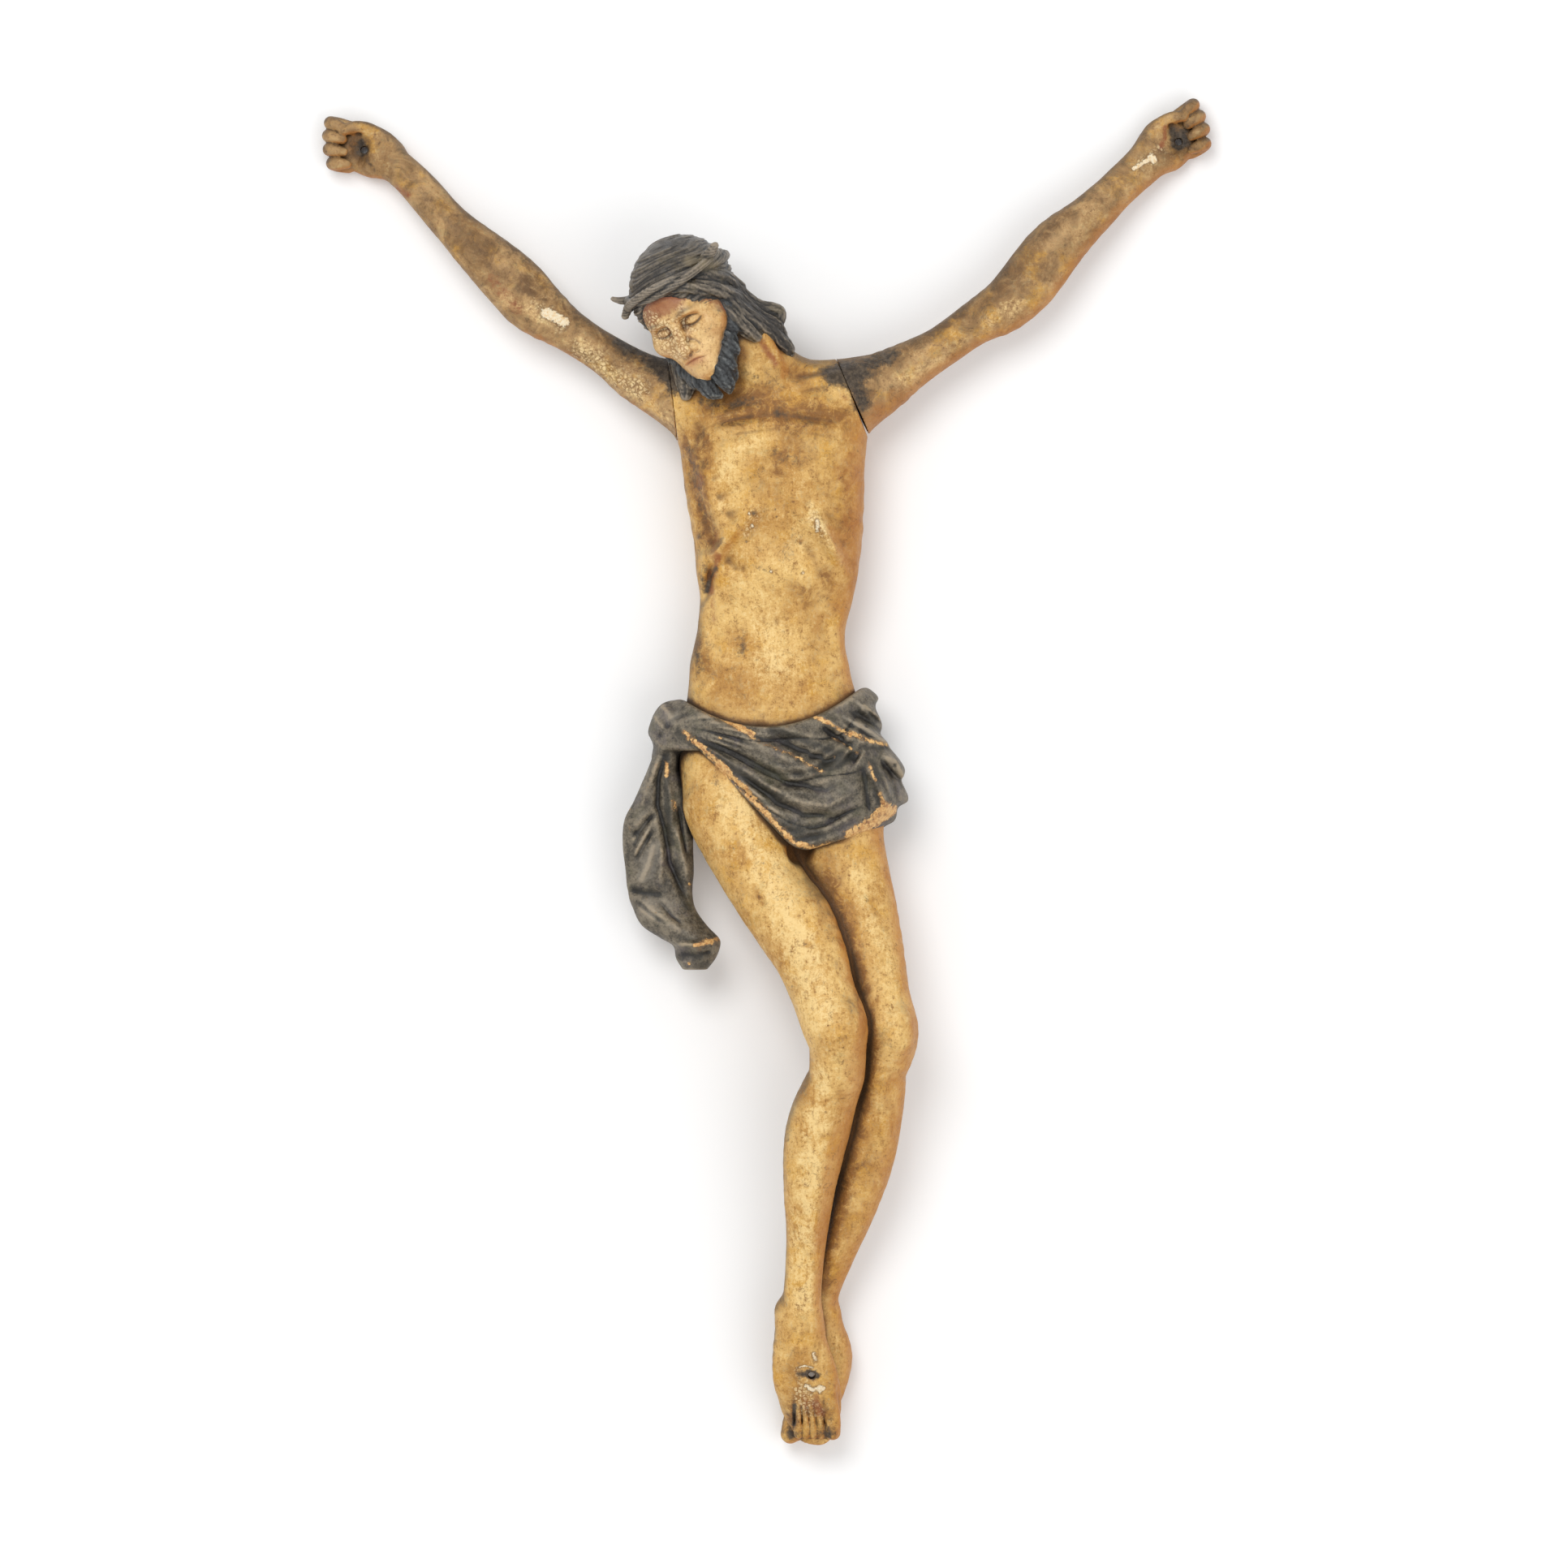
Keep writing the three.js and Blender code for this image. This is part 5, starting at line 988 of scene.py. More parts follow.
def sampled(field, points, size, count=1):
    """The field, or a number of fields, at points, worked out cube by cube, so that far forms are skipped."""
    cells = np.floor((points - points.min(0)) / size).astype(np.int64)
    key = (cells[:, 0] * CUBE_LIMIT + cells[:, 1]) * CUBE_LIMIT + cells[:, 2]
    order = np.argsort(key, kind="stable")
    starts = np.flatnonzero(np.r_[True, np.diff(key[order]) > 0, True])
    values = np.empty((count, len(points)), np.float32)

    def work(n):
        rows = order[starts[n]:starts[n + 1]]
        part = points[rows].astype(np.float32)
        values[:, rows] = field(Points(part[:, 0].copy(), part[:, 1].copy(), part[:, 2].copy()))

    with ThreadPoolExecutor(THREADS) as pool:
        list(pool.map(work, range(len(starts) - 1)))
    return values[0] if count == 1 else values


# A coarse grid of the whole figure that says where wood is
WOOD_LOW, WOOD_HIGH, WOOD_STEP = np.array([-214, -436, -12]), np.array([210, 190, 100]), 1.0
wood = np.zeros(np.ceil((WOOD_HIGH - WOOD_LOW) / WOOD_STEP).astype(int), np.float32)


def fill_wood(inside, low, step):
    """Adds a piece's own fine grid to the wood."""
    ranges, picks = [], []
    for axis in range(3):
        places = WOOD_LOW[axis] + np.arange(wood.shape[axis]) * WOOD_STEP
        pick = np.round((places - low[axis]) / step).astype(int)
        kept = np.flatnonzero((pick >= 0) & (pick < inside.shape[axis]))
        ranges.append(slice(kept[0], kept[-1] + 1))
        picks.append(pick[kept])
    part = wood[tuple(ranges)]
    np.maximum(part, inside[np.ix_(*picks)], out=part)


def wood_around(width):
    """The share of wood within about a width, in cells, of each cell."""
    share = wood
    half = width // 2
    for _ in range(2):
        for axis in range(3):
            padding = [(0, 0)] * 3
            padding[axis] = (half + 1, half)
            total = np.cumsum(np.pad(share, padding, mode="edge"), axis=axis, dtype=np.float32)
            first, last = [slice(None)] * 3, [slice(None)] * 3
            first[axis], last[axis] = slice(0, -width), slice(width, None)
            share = (total[tuple(last)] - total[tuple(first)]) / width
    return share


def looked_up(grid, points):
    """The grid's values at points, between its cells."""
    at = (points - WOOD_LOW) / WOOD_STEP
    cell = np.clip(np.floor(at).astype(int), 0, np.array(grid.shape) - 2)
    t = at - cell
    total = 0
    for corner in CORNERS:
        weight = np.where(corner, t, 1 - t).prod(1)
        total = total + weight * grid[tuple((cell + corner).T)]
    return total


CORNERS = [(c & 1, c >> 1 & 1, c >> 2) for c in range(8)]
CUBE_EDGES = [(a, b) for a in range(8) for b in range(a + 1, 8) if bin(a ^ b).count("1") == 1]
BLOCK, HALF_BLOCK = 8, 4  # in steps of the grid
# A block is looked into when the field at its centre is under this many blocks.
BLOCK_MARGIN, HALF_BLOCK_MARGIN = 2.2, 1.7


def net(field, low, high, step):
    """The surface where the field is zero, as vertices and quads, by surface nets."""
    low = np.array(low, float)
    blocks = np.ceil((np.array(high) - low) / (BLOCK * step)).astype(int)

    def centres(index, width):
        return low + (index + 0.5) * width * step

    def widened(signs, times):
        for axis in range(3):
            signs = signs.repeat(times, axis)
        return signs

    # The field's sign in large blocks, then in half blocks near the surface, then node by node
    index = np.argwhere(np.ones(blocks, bool))
    value = sampled(field, centres(index, BLOCK), COARSE_CUBE)
    signs = widened(np.where(value < 0, np.int8(-1), np.int8(1)).reshape(blocks), 2)
    kept = index[np.abs(value) < BLOCK_MARGIN * BLOCK * step]
    index = np.concatenate([kept * 2 + corner for corner in CORNERS])
    value = sampled(field, centres(index, HALF_BLOCK), MIDDLE_CUBE)
    signs[tuple(index.T)] = np.where(value < 0, -1, 1)
    kept = index[np.abs(value) < HALF_BLOCK_MARGIN * HALF_BLOCK * step]
    counts = blocks * BLOCK + 1
    grid = np.ones(counts, np.float32)
    grid[:-1, :-1, :-1] = widened(signs, HALF_BLOCK)
    needed = np.zeros(counts, bool)
    for node in np.ndindex(*[HALF_BLOCK + 1] * 3):
        needed[tuple((kept * HALF_BLOCK + node).T)] = True
    grid[needed] = sampled(field, low + np.argwhere(needed) * step, FINE_CUBE)
    del needed, signs

    inside = grid < 0
    fill_wood(inside, low, step)
    shape = counts - 1
    total = np.zeros(shape, np.uint8)
    for i, j, k in CORNERS:
        total += inside[i:i + shape[0], j:j + shape[1], k:k + shape[2]]
    cells = np.argwhere((total > 0) & (total < 8))
    strides = np.array([counts[1] * counts[2], counts[2], 1])
    keys = cells @ strides
    flat = grid.ravel()
    values = np.stack([flat[keys + np.array(c) @ strides] for c in CORNERS], 1)
    place, crossings = np.zeros((len(cells), 3)), np.zeros(len(cells))
    for a, b in CUBE_EDGES:
        crossed = (values[:, a] < 0) != (values[:, b] < 0)
        t = values[crossed, a] / (values[crossed, a] - values[crossed, b])
        start, way = np.array(CORNERS[a]), np.array(CORNERS[b]) - np.array(CORNERS[a])
        place[crossed] += start + t[:, None] * way
        crossings[crossed] += 1
    vertices = low + (cells + place / crossings[:, None]) * step

    quads = []
    for axis in range(3):
        b, c = (axis + 1) % 3, (axis + 2) % 3
        ahead = np.roll(np.eye(3, dtype=int)[0], axis)
        first = inside[tuple(slice(0, counts[n] - ahead[n]) for n in range(3))]
        second = inside[tuple(slice(ahead[n], counts[n]) for n in range(3))]
        for leaving in (True, False):
            edges = np.argwhere((first & ~second) if leaving else (~first & second))
            at = edges @ strides
            sb, sc = strides[b], strides[c]
            ring = [at - sb - sc, at - sc, at, at - sb]
            if not leaving:
                ring.reverse()
            quads.append(np.stack([np.searchsorted(keys, cell) for cell in ring], 1))
    return vertices, np.concatenate(quads)


def largest(vertices, quads):
    """The largest connected surface, without specks or inner hollows."""
    label = np.arange(len(vertices))
    a, b = quads.ravel(), np.roll(quads, -1, 1).ravel()
    while True:
        lowest = label.copy()
        np.minimum.at(lowest, label[a], label[b])
        lowest = np.minimum(lowest, lowest[label])
        while True:
            jumped = lowest[lowest]
            if np.array_equal(jumped, lowest):
                break
            lowest = jumped
        if np.array_equal(lowest, label):
            break
        label = lowest
    keep = label == np.bincount(label).argmax()
    number = np.cumsum(keep) - 1
    return vertices[keep], number[quads[keep[quads[:, 0]]]]


def smoothing(vertices, quads):
    """A function that gives smoothed vertices after a number of rounds."""
    src, dst = quads.ravel(), np.roll(quads, -1, 1).ravel()
    degree = np.bincount(src, minlength=len(vertices))

    def smooth(points, rounds, amount=1.0):
        for _ in range(rounds):
            total = np.stack([np.bincount(src, points[dst, k], len(points)) for k in range(3)], 1)
            points = points + amount * (total / degree[:, None] - points)
        return points

    return smooth


def normals_of(vertices, quads):
    a, b, c, d = (vertices[quads[:, corner]] for corner in range(4))
    across = np.cross(c - a, d - b)
    normal = np.zeros_like(vertices)
    for k in range(3):
        for corner in range(4):
            normal[:, k] += np.bincount(quads[:, corner], across[:, k], len(vertices))
    return normal / (np.linalg.norm(normal, axis=1)[:, None] + 1e-12)


def mesh_of(name, vertices, quads):
    mesh = bpy.data.meshes.new(name)
    mesh.vertices.add(len(vertices))
    mesh.vertices.foreach_set("co", (vertices * MM).astype(np.float32).ravel())
    mesh.loops.add(quads.size)
    mesh.loops.foreach_set("vertex_index", quads.ravel().astype(np.int32))
    mesh.polygons.add(len(quads))
    mesh.polygons.foreach_set("loop_start", np.arange(0, quads.size, 4, dtype=np.int32))
    mesh.update(calc_edges=True)
    return mesh


def add_attribute(mesh, name, values):
    layer = mesh.attributes.new(name, "FLOAT", "POINT")
    layer.data.foreach_set("value", np.asarray(values, np.float32))


def vertices_of(mesh):
    """The places, in millimetres, and the normals of a mesh's vertices."""
    place, normal = np.empty((2, len(mesh.vertices), 3), np.float32)
    mesh.vertices.foreach_get("co", place.ravel())
    mesh.vertices.foreach_get("normal", normal.ravel())
    return place / MM, normal


SHARP_ANGLE = math.radians(42)
FINE_SIZE, BROAD_SIZE = 1.0, 3.2  # the smoothing, in millimetres, that shows the small and the large ridges


def carve(name, field, low, high, step, triangles):
    """A carved piece, thinned to a number of triangles, with its ridges and hollows as attributes."""
    vertices, quads = largest(*net(field, low, high, step))
    smooth = smoothing(vertices, quads)
    vertices = smooth(smooth(vertices, 1, 0.5), 1, -0.5)
    normal = normals_of(vertices, quads)
    fine = smooth(vertices, max(1, round((FINE_SIZE / step) ** 2)))
    broad = smooth(fine, max(1, round((BROAD_SIZE / step) ** 2)))
    mesh = mesh_of(name, vertices, quads)
    add_attribute(mesh, "ridge", ((vertices - fine) * normal).sum(1))
    add_attribute(mesh, "swell", ((vertices - broad) * normal).sum(1))
    rough = bpy.data.objects.new(name + "_rough", mesh)
    bpy.context.scene.collection.objects.link(rough)
    thinning = rough.modifiers.new("thinning", "DECIMATE")
    thinning.ratio = min(1, triangles / (2 * len(quads)))
    thinning.use_collapse_triangulate = True
    bpy.context.view_layer.update()
    graph = bpy.context.evaluated_depsgraph_get()
    final = bpy.data.meshes.new_from_object(rough.evaluated_get(graph))
    final.name = name
    bpy.data.objects.remove(rough)
    final.shade_smooth()
    final.set_sharp_from_angle(angle=SHARP_ANGLE)
    piece = bpy.data.objects.new(name, final)
    bpy.context.scene.collection.objects.link(piece)
    return piece


def above_floor(field):
    return lambda p: np.maximum(field(p), -p.z)


left_arm = arm(ARM_LEFT, hand_left, SEAM_LEFT, NAIL_LEFT)
right_arm = arm(ARM_RIGHT, hand_right, SEAM_RIGHT, NAIL_RIGHT)
PIECES = [  # name, field, box, grid step, triangles, slot
    ("trunk_and_legs", flesh, (-62, -430, -3), (72, 92, 90), 0.62, 190000, "painted_wood"),
    ("loincloth", cloth, (-70, -220, -3), (70, -84, 66), 0.5, 190000, "painted_wood"),
    ("head", head, (-84, 34, 8), (16, 118, 94), 0.42, 190000, "painted_wood"),
    ("left_arm_carving", left_arm, (24, 8, -3), (204, 184, 52), 0.5, 90000, "painted_wood_arms"),
    ("right_arm_carving", right_arm, (-208, 8, -3), (-26, 180, 52), 0.5, 90000, "painted_wood_arms"),
]
pieces = {}
for name, field, low, high, step, triangles, slot_name in PIECES:
    piece = carve(name, above_floor(field), low, high, step, triangles)
    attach(piece, "root")
    pieces[name] = piece
for name in ("trunk_and_legs", "loincloth", "head"):
    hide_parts("corpus_body")
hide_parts("left_arm")
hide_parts("right_arm")


# Painting: soft masks at the vertices, which the materials break up into ragged edges

FLESH_MARKS = {
    "tone": tone_light_and_shade_marks, "red": red_marks, "gesso": gesso_marks, "dark": dark_marks, "specks": speck_marks,
    "peel": peel_marks,
}
CLOTH_MARKS = {"bare": bare_marks, "pale": ridge_highlights_and_dust, "dark": cloth_fold_shade}
HEAD_MARKS = {
    "tone": face_tones, "red": face_reds, "peel": face_peels, "dark": hair_darks, "pale": hair_pales,
}


def paint(piece, marks, hollows):
    """Adds the masks that the materials read.

    Painted shade lies on the flanks: brown where they face the head, warm orange where they face the feet or
    the left arm."""
    mesh = piece.data
    place, normal = vertices_of(mesh)
    front = smoothstep(normal[:, 2], -0.15, 0.35)
    for name, share in hollows.items():
        add_attribute(mesh, name, looked_up(share, place + 0.5 * normal))
    for name, mark in marks.items():
        add_attribute(mesh, name, front * sampled(mark, place, MIDDLE_CUBE))
    # Masks for painted shade by the way a surface faces: the more it turns away from the front, the more
    # shade.
    side = np.clip(1 - normal[:, 2], 0, 1)
    to_headward_shade, to_footward_shade = normal[:, 1] - 0.3 * normal[:, 0], 0.7 * normal[:, 0] - 0.7 * normal[:, 1]
    add_attribute(mesh, "side", side)
    add_attribute(mesh, "headward_shade", np.sqrt(side) * smoothstep(to_headward_shade, -0.1, 0.6))
    add_attribute(mesh, "footward_shade", np.sqrt(side) * smoothstep(to_footward_shade, -0.1, 0.6))


def paint_head(piece):
    """Adds the masks of the hair, the beard and the painted features."""
    mesh = piece.data
    place, _ = vertices_of(mesh)
    skin, hairs, chin_hair, stems = sampled(
        lambda p: np.stack([np.broadcast_to(d, p.x.shape) for d in head_parts(p)]), place, FINE_CUBE, 4)
    add_attribute(mesh, "hair", np.clip(0.5 + (skin - np.minimum(hairs, stems)) / 1.4, 0, 1))
    add_attribute(mesh, "beard", np.clip(0.5 + (np.minimum(skin, hairs) - chin_hair) / 1.2, 0, 1))
    local = to_head(Points(*place.T.copy()))
    x, y, z = local.x, local.y, local.z
    aside = np.abs(x)
    lips = bell(y - MOUTH - 0.7 + 0.035 * x * x, 2.3) * bell(x, 5.2) * (z > 18)
    brow = bell(y - BROW - 2.6 + 0.045 * (aside - 8.5) ** 2, 0.9) * bell(aside - 8.5, 4.6) * (z > 8)
    lash = bell(y - LASHES - 0.05 * (aside - EYE_X) ** 2, 0.6) * bell(aside - EYE_X, 4) * (z > 8)
    add_attribute(mesh, "lips", lips)
    add_attribute(mesh, "brow", np.maximum(brow, lash))


# How much wood lies round each point, near and wider; the materials paint shade in the hollows from these,
# and make the hollows matt.
hollows = {"crevice": wood_around(5), "shelter": wood_around(15)}
for name, piece in pieces.items():
    paint(piece, {"loincloth": CLOTH_MARKS, "head": HEAD_MARKS}.get(name, FLESH_MARKS), hollows)
paint_head(pieces["head"])


# Materials

def linear(*rgb):
    """A colour of 0 to 255, as linear light."""
    shares = [c / 255 for c in rgb]
    return tuple(c / 12.92 if c <= 0.04045 else ((c + 0.055) / 1.055) ** 2.4 for c in shares) + (1,)


class Shader:
    """A material whose nodes are added one by one. Sizes are in millimetres."""

    def __init__(self, name):
        self.material = bpy.data.materials.new(name)
        self.material.use_nodes = True
        self.tree = self.material.node_tree
        self.bsdf = self.tree.nodes["Principled BSDF"]
        self.place = self.node("TexCoord", "Object")
        self.seed = 0

    def fill(self, node, inputs):
        """Gives a node's inputs their numbers, or links them to the outputs of other nodes."""
        for name, value in inputs.items():
            if isinstance(value, (int, float, tuple)):
                node.inputs[name].default_value = value
            else:
                self.tree.links.new(value, node.inputs[name])

    def node(self, kind, output, inputs=None, **settings):
        """The output of a new node."""
        node = self.tree.nodes.new("ShaderNode" + kind)
        for name, value in settings.items():
            setattr(node, name, value)
        self.fill(node, inputs or {})
        return node.outputs[output]

    def noise(self, size, detail=3.0, roughness=0.55, stretch=(1, 1, 1), distortion=0.0):
        """Noise with bumps of about a size, from 0 to 1."""
        self.seed += 1
        shift = (0.37 * self.seed, 0.11 * self.seed, 0.23 * self.seed)
        place = self.node("Mapping", 0, {"Vector": self.place, "Location": shift, "Scale": stretch})
        return self.node("TexNoise", "Fac", {
            "Vector": place, "Scale": 1 / (size * MM), "Detail": detail, "Roughness": roughness,
            "Distortion": distortion,
        })

    def centred(self, size, detail=3.0, roughness=0.55, **options):
        """The same noise, spread to about -1 to 1."""
        return self.math("MULTIPLY_ADD", self.noise(size, detail, roughness, **options), 3.4, -1.7)

    def mask(self, name):
        return self.node("Attribute", "Fac", attribute_name=name)

    def math(self, operation, a, b=0.0, c=0.0, clamp=False):
        return self.node("Math", 0, {0: a, 1: b, 2: c}, operation=operation, use_clamp=clamp)

    def times(self, amount, factor):
        return self.math("MULTIPLY", amount, factor)

    def clamped(self, value):
        return self.math("ADD", value, 0.0, clamp=True)

    def sum(self, *terms):
        """Several values, each times its own weight, added up."""
        total = 0.0
        for value, weight in terms:
            total = self.math("MULTIPLY_ADD", value, weight, total)
        return total

    def mix(self, amount, a, b):
        return self.node("Mix", 2, {"Factor": amount, 6: a, 7: b}, data_type="RGBA")

    def ramp(self, value, start, end, low=0.0, high=1.0):
        """A value's smooth way from one number to another."""
        inputs = {"Value": value, "From Min": start, "From Max": end, "To Min": low, "To Max": high}
        return self.node("MapRange", 0, inputs, interpolation_type="SMOOTHSTEP")

    def ragged(self, mask, size, start, end, spread=1.0):
        """A soft mask with noise added to it, cut off to a ragged edge."""
        return self.ramp(self.sum((mask, 1.0), (self.centred(size, 5, 0.65), 0.3 * spread)), start, end)

    def cracks(self, size):
        """Flakes of about a size: one on them, zero in the cracks between."""
        noise = {"Vector": self.place, "Scale": 1 / (1.5 * size * MM), "Detail": 3}
        bend, amount = self.node("TexNoise", "Color", noise), (1.6 * size * MM,) * 3
        place = self.node("VectorMath", 0, {0: bend, 1: amount, 2: self.place}, operation="MULTIPLY_ADD")
        flakes = {"Vector": place, "Scale": 1 / (size * MM)}
        return self.ramp(self.node("TexVoronoi", "Distance", flakes, feature="DISTANCE_TO_EDGE"), 0.05, 0.22)

    def finish(self, colour, roughness, height, depth):
        normal = self.node("Bump", 0, {"Strength": 1, "Distance": depth * MM, "Height": height})
        self.fill(self.bsdf, {"Base Color": colour, "Roughness": roughness, "Normal": normal})
        return self.material


OCHRE, LIGHT, BROWN = linear(187, 138, 69), linear(223, 183, 112), linear(126, 82, 38)
ORANGE, GOLD, SAND = linear(180, 112, 44), linear(204, 150, 52), linear(238, 209, 148)
ASH, CREAM, BLOOD = linear(149, 125, 76), linear(232, 208, 160), linear(136, 70, 42)
# The middle colour here is the brown of the painted shade on the flanks that face the head.
UMBER, HEADWARD_SHADE_BROWN, SPECK = linear(58, 42, 27), linear(84, 66, 46), linear(88, 61, 38)


def flesh_colour(s, base=OCHRE, light=LIGHT, brown=BROWN, wear=0.0, flow=(1.6, 0.22, 1.6)):
    """Old flesh paint: mottled ochre under a brown glaze, with streaks and specks, and painted shade in the
    hollows and on the flanks.
    """
    patches, mottle = s.centred(11, 5, 0.65, distortion=0.8), s.centred(3.6, 6, 0.75)
    tone = s.times(s.mask("tone"), s.ramp(s.centred(6, 6, 0.78, distortion=0.8), -0.5, 0.6, 0.25, 1.6))
    grain, dust = s.centred(1.5, 5, 0.78), s.centred(0.8, 3, 0.7)
    streaks = s.centred(2.6, 5, 0.7, stretch=flow)
    fine = s.sum((mottle, 0.55), (grain, 0.65), (dust, 0.4), (streaks, 0.5))
    crevice = s.ramp(s.mask("crevice"), 0.42, 0.72, 0, 0.7)
    hollow = s.math("ADD", crevice, s.ramp(s.mask("shelter"), 0.44, 0.74, 0, 0.9))
    pale = s.sum((s.centred(24, 3, 0.6), 1.0), (tone, 0.9), (mottle, 0.5))
    colour = s.mix(s.ramp(pale, -0.9, 0.9), base, light)
    golden = s.sum((s.centred(14, 4, 0.6), 1.0), (mottle, 0.5))
    colour = s.mix(s.ramp(golden, 0.0, 0.8, 0, 0.7), colour, GOLD)
    ashen = s.sum((s.centred(9, 5, 0.7), 1.0), (mottle, 0.6))
    colour = s.mix(s.ramp(ashen, 0.2, 0.9, 0, 0.5), colour, ASH)
    # Sand where the tone marks are light; some of these are painted highlights.
    colour = s.mix(s.ramp(s.sum((tone, 1.0), (fine, 0.4)), 0.15, 0.9, 0, 0.55), colour, SAND)
    colour = s.mix(s.clamped(s.times(s.sum((fine, 1.0), (-0.08, 1.0)), 1.1)), colour, SAND)
    colour = s.mix(s.clamped(s.times(s.sum((fine, -1.0), (-0.06, 1.0)), 1.2)), colour, brown)
    # Brown glaze in patches, and painted shade in the hollows and between parts.
    glaze_and_shade = s.sum((patches, 0.9), (tone, -0.9), (fine, 0.7), (hollow, 1.3), (-wear, -1.0))
    colour = s.mix(s.ramp(glaze_and_shade, 0.0, 1.3, 0, 0.85), colour, brown)
    # Painted shade on the flanks by the way they face: warm orange towards the feet and the left arm, brown
    # towards the head.
    footward_shade = s.sum((s.mask("footward_shade"), 1.3), (s.mask("side"), 0.4), (patches, 0.35), (mottle, 0.25))
    colour = s.mix(s.ramp(footward_shade, 0.3, 1.2, 0, 0.62), colour, ORANGE)
    headward_shade = s.sum((s.mask("headward_shade"), 1.2), (s.mask("side"), 0.3), (patches, 0.3), (fine, 0.4))
    colour = s.mix(s.ramp(headward_shade, 0.35, 1.2, 0, 0.7), colour, HEADWARD_SHADE_BROWN)
    # Painted shade: umber in the hollows and between parts, from how much wood lies round them.
    hollow_shade = s.sum((hollow, 1.0), (mottle, 0.2), (tone, -0.25))
    colour = s.mix(s.ramp(hollow_shade, 0.3, 1.3, 0, 0.9), colour, UMBER)
    # Painted shade in broad hollows and in fine grooves.
    colour = s.mix(s.ramp(s.mask("swell"), -0.08, -0.5, 0, 0.4), colour, brown)
    colour = s.mix(s.ramp(s.mask("ridge"), -0.03, -0.14, 0, 0.6), colour, UMBER)
    veins = s.math("ABSOLUTE", s.centred(8, 4, 0.6, distortion=1.2))
    lines = s.times(s.ramp(veins, 0.05, 0.0), s.ramp(patches, 0.0, 0.5))
    colour = s.mix(s.times(lines, 0.6), colour, UMBER)
    specks = s.sum((s.centred(1.9, 4, 0.65), 1.0), (patches, 0.5), (s.mask("specks"), 0.8))
    colour = s.mix(s.ramp(specks, 0.78, 1.2, 0, 0.6), colour, SPECK)
    colour = s.mix(s.times(s.ragged(s.mask("red"), 2.0, 0.25, 1.0, 1.2), 0.75), colour, BLOOD)
    flakes = s.clamped(s.sum((s.cracks(1.9), 1.0), (mottle, 0.5)))
    peeled = s.ragged(s.mask("peel"), 3.0, 0.25, 0.85, 1.6)
    colour = s.mix(s.times(peeled, s.times(flakes, 0.6)), colour, CREAM)
    return s.mix(s.times(peeled, s.times(s.math("SUBTRACT", 1.0, flakes), 0.55)), colour, brown)


def layers(s, colour):
    """Dark overpaint, then chips down to the gesso."""
    smear = s.sum((s.mask("dark"), 1.0), (s.centred(7, 5, 0.72), 0.5), (s.centred(2, 4, 0.72), 0.45))
    dark = s.ramp(smear, 0.45, 1.05)
    colour = s.mix(s.ramp(smear, 0.2, 0.75, 0, 0.65), colour, linear(96, 74, 50))
    tar = s.mix(s.ramp(s.centred(2.4, 5, 0.7), -0.5, 0.8), linear(38, 34, 31), linear(96, 84, 70))
    colour = s.mix(s.times(dark, 0.9), colour, tar)
    chips = s.ragged(s.mask("gesso"), 1.2, 0.5, 0.72, 1.1)
    rim = s.times(s.ragged(s.mask("gesso"), 1.6, 0.25, 0.5, 1.4), 0.5)
    colour = s.mix(rim, colour, linear(122, 88, 54))
    gesso = s.mix(s.ramp(s.centred(1.1, 3, 0.7), -0.5, 0.8), linear(232, 219, 190), linear(218, 182, 130))
    return s.mix(chips, colour, gesso), dark, chips


def skin_material(name, **colours):
    s = Shader(name)
    colour, dark, chips = layers(s, flesh_colour(s, **colours))
    matt = s.ramp(s.mask("crevice"), 0.5, 0.7, 0, 0.3)
    rough = s.math("ADD", s.ramp(s.noise(4, 4, 0.6), 0.3, 0.75, 0.42, 0.62), matt)
    height = s.sum((s.noise(0.9, 4, 0.65), 1.0), (s.noise(2.6, 3, 0.6), 1.6), (chips, -0.9), (dark, 0.3))
    s.bsdf.inputs["Specular IOR Level"].default_value = 0.3
    return s.finish(colour, rough, height, 0.3)


def dark_paint(s, shade, light, hollow, relief=1.0):
    """Worn dark paint: grey with dust, lighter on the ridges with wear and painted highlight, darker in the
    hollows with painted shade.
    """
    patches, mottle, grain = s.centred(7, 5, 0.65), s.centred(2.2, 5, 0.72), s.centred(0.9, 4, 0.7)
    ridge, swell = s.mask("ridge"), s.mask("swell")
    # Dust, and painted highlights on the ridges.
    dust_and_highlight = s.sum((patches, 0.8), (mottle, 0.8), (grain, 0.5), (ridge, 3.0 * relief), (swell, 0.5))
    colour = s.mix(s.ramp(dust_and_highlight, -0.7, 1.3), shade, light)
    colour = s.mix(s.ramp(s.sum((mottle, 0.8), (grain, 0.6)), -0.15, -0.9, 0, 0.7), colour, hollow)
    crevice, shelter = s.ramp(s.mask("crevice"), 0.44, 0.7), s.ramp(s.mask("shelter"), 0.48, 0.78)
    # Painted shade in the hollows, the creases and the grooves.
    low = s.sum(
        (s.ramp(ridge, -0.01, -0.12), 0.7 * relief), (s.ramp(swell, -0.06, -0.6), 0.7),
        (crevice, 0.7), (shelter, 0.4), (mottle, 0.15))
    return s.mix(s.ramp(low, 0.1, 1.1, 0, 0.9), colour, hollow)


def marked(s, colour, name, size, end, share, paint):
    """A colour with strokes of a paint where a mask says."""
    return s.mix(s.times(s.ragged(s.mask(name), size, 0.2, end, 1.4), share), colour, paint)


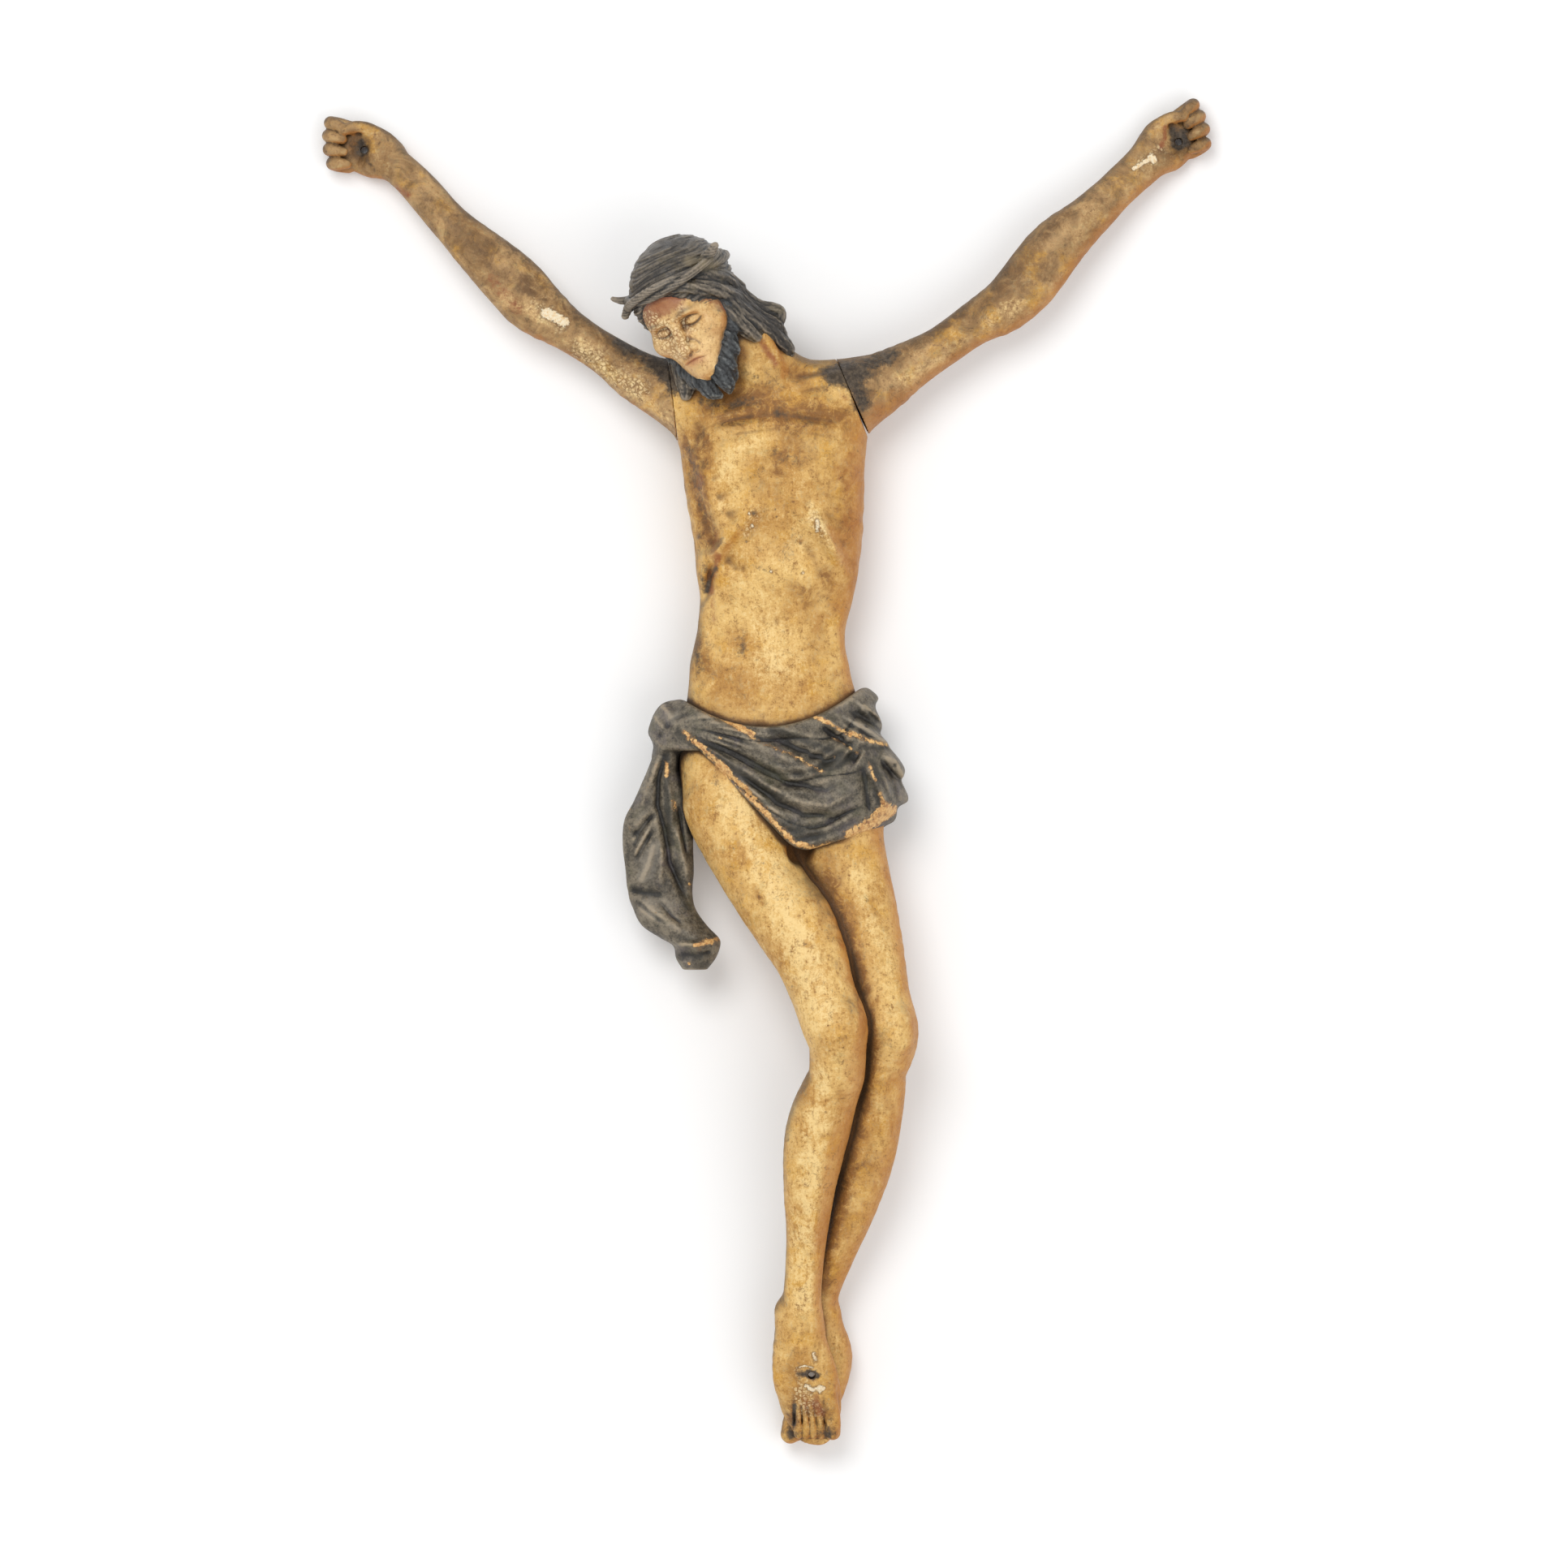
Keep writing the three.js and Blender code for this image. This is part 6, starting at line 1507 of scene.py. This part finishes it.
def cloth_material():
    s = Shader("cloth_paint")
    colour = dark_paint(s, linear(58, 52, 42), linear(132, 121, 102), linear(20, 17, 14))
    colour = s.mix(s.ramp(s.centred(11, 4, 0.6), 0.0, 0.8, 0, 0.5), colour, linear(70, 68, 44))
    colour = s.mix(s.ramp(s.centred(13, 4, 0.6), 0.1, 0.8, 0, 0.4), colour, linear(98, 89, 96))
    ridge = s.mask("ridge")
    # Wear and painted highlights on the fold ridges.
    worn_and_highlit = s.sum((ridge, 4.5), (s.mask("swell"), 0.5), (s.mask("pale"), 0.6), (s.centred(6, 4, 0.65), 0.4))
    colour = s.mix(s.times(s.ragged(worn_and_highlit, 1.6, 0.6, 1.4, 1.6), 0.65), colour, linear(166, 148, 122))
    # The pale marks are painted highlights with dust along fold ridges.
    colour = marked(s, colour, "pale", 4.0, 1.0, 0.45, linear(150, 141, 126))
    # The cloth's dark marks are painted shade in the fold valleys.
    colour = marked(s, colour, "dark", 3.0, 0.9, 0.75, linear(32, 30, 24))
    uneven_edge = (s.centred(4, 4, 0.7), 0.45), (s.centred(9, 3, 0.6), 0.25)
    bare = s.sum((s.mask("bare"), 1.1), (ridge, 1.6), *uneven_edge)
    worn_off = s.ragged(bare, 1.8, 0.68, 0.86, 1.8)
    rim = s.ragged(bare, 2.4, 0.4, 0.8, 1.8)
    colour = s.mix(s.times(rim, 0.45), colour, linear(140, 108, 74))
    wood = s.mix(s.ramp(s.centred(1.5, 4, 0.7), -0.4, 0.6), linear(226, 184, 120), linear(182, 126, 70))
    wood = s.mix(s.ramp(s.centred(3, 5, 0.7), 0.05, 0.6, 0, 0.8), wood, linear(118, 74, 44))
    colour = s.mix(worn_off, colour, wood)
    rough = s.ramp(s.noise(3, 4, 0.6), 0.3, 0.75, 0.42, 0.66)
    height = s.sum((s.noise(0.8, 4, 0.65), 1.0), (s.noise(2.2, 3, 0.6), 1.4), (worn_off, -0.8))
    return s.finish(colour, rough, height, 0.3)


def head_material():
    s = Shader("head_paint")
    colour = flesh_colour(s, linear(196, 150, 88), linear(228, 190, 130))
    colour = s.mix(s.times(s.mask("lips"), 0.6), colour, linear(166, 96, 72))
    colour = s.mix(s.times(s.mask("brow"), 0.7), colour, linear(72, 54, 38))
    hair = dark_paint(s, linear(42, 37, 32), linear(108, 98, 84), linear(12, 11, 9), 1.7)
    hair = s.mix(s.ramp(s.centred(7, 4, 0.65), 0.0, 0.8, 0, 0.6), hair, linear(92, 80, 54))
    hair = s.mix(s.ramp(s.centred(6, 4, 0.7), 0.0, 0.7, 0, 0.6), hair, linear(40, 36, 33))
    hair = marked(s, hair, "pale", 3.0, 1.0, 0.5, linear(134, 120, 90))
    hair = marked(s, hair, "dark", 3.0, 0.9, 0.7, linear(30, 27, 26))
    # Wear and painted highlights on the ridges of the hair and the beard.
    worn_and_highlit = s.sum((s.mask("ridge"), 4.0), (s.mask("swell"), 0.6), (s.centred(6, 4, 0.65), 0.4))
    hair = s.mix(s.times(s.ragged(worn_and_highlit, 1.4, 0.6, 1.4, 1.6), 0.65), hair, linear(154, 140, 122))
    beard = dark_paint(s, linear(22, 23, 25), linear(66, 69, 70), linear(6, 6, 7), 1.7)
    beard = s.mix(s.times(s.ragged(worn_and_highlit, 1.5, 0.8, 1.6, 1.8), 0.55), beard, linear(138, 140, 136))
    on_hair = s.ragged(s.mask("hair"), 1.4, 0.42, 0.58, 0.5)
    on_beard = s.ragged(s.mask("beard"), 1.2, 0.42, 0.58, 0.5)
    colour = s.mix(on_beard, s.mix(on_hair, colour, hair), beard)
    rough = s.ramp(s.noise(3, 4, 0.6), 0.3, 0.75, 0.3, 0.55)
    height = s.sum((s.noise(0.8, 4, 0.65), 1.0), (s.noise(2.2, 3, 0.6), 1.2))
    return s.finish(colour, rough, height, 0.2)


skin = skin_material("flesh_paint")
arm_colours = {"base": linear(148, 112, 68), "light": linear(196, 158, 108), "brown": linear(98, 70, 42)}
arm_skin = skin_material("arm_paint", **arm_colours, wear=0.42, flow=(1, 1, 1))
finishes = {
    "trunk_and_legs": skin, "loincloth": cloth_material(), "head": head_material(),
    "left_arm_carving": arm_skin, "right_arm_carving": arm_skin,
}
for name, piece in pieces.items():
    piece.data.materials.clear()
    piece.data.materials.append(finishes[name])


# Floor, light and camera, in metres

FLOOR_HALF = 4
FLOOR_DROP = 0.0005  # keeps the floor clear of the surface that the wood lies on
FLOOR_GREY = (0.9, 0.9, 0.9, 1)
floor_mesh = bpy.data.meshes.new("floor")
corners = [(x * FLOOR_HALF, y * FLOOR_HALF, 0) for x, y in ((-1, -1), (1, -1), (1, 1), (-1, 1))]
floor_mesh.from_pydata(corners, [], [(0, 1, 2, 3)])
floor = bpy.data.objects.new("floor", floor_mesh)
floor.location.z = -FLOOR_DROP
bpy.context.scene.collection.objects.link(floor)
paper = Shader("pale_floor")
paper.fill(paper.bsdf, {
    "Base Color": FLOOR_GREY, "Roughness": 0.9, "Emission Color": FLOOR_GREY, "Emission Strength": 0.02,
})
floor_mesh.materials.append(paper.material)

WORLD_STRENGTH = 0.76
bpy.context.scene.view_settings.view_transform = "Standard"
world = bpy.data.worlds.new("studio")
bpy.context.scene.world = world
world.use_nodes = True
background = world.node_tree.nodes["Background"]
background.inputs["Color"].default_value = (1, 1, 1, 1)
background.inputs["Strength"].default_value = WORLD_STRENGTH
LIT_POINT = Vector((0, -0.12, 0.03))


def area_light(name, place, size, power):
    light = bpy.data.lights.new(name, "AREA")
    light.shape, light.size, light.energy = "DISK", size, power
    lamp = bpy.data.objects.new(name, light)
    lamp.location = place
    lamp.rotation_euler = (LIT_POINT - Vector(place)).to_track_quat("-Z", "Y").to_euler()
    bpy.context.scene.collection.objects.link(lamp)


area_light("key", (-0.6, 0.9, 2.4), 1.4, 28)
area_light("fill", (1.0, -0.9, 2.4), 1.8, 12)

MM_PER_PIXEL, PHOTO_PIXELS = 0.36, 1932
PHOTO_CENTRE = (5.76, -131.76)
CAMERA_HEIGHT = 8.0
SENSOR = 36
camera_data = bpy.data.cameras.new("camera")
camera_data.sensor_width = SENSOR
camera_data.lens = SENSOR * CAMERA_HEIGHT / (MM_PER_PIXEL * PHOTO_PIXELS * MM)
camera_data.clip_end = 100
camera = bpy.data.objects.new("camera", camera_data)
camera.location = (PHOTO_CENTRE[0] * MM, PHOTO_CENTRE[1] * MM, CAMERA_HEIGHT)
bpy.context.scene.collection.objects.link(camera)
bpy.context.scene.camera = camera
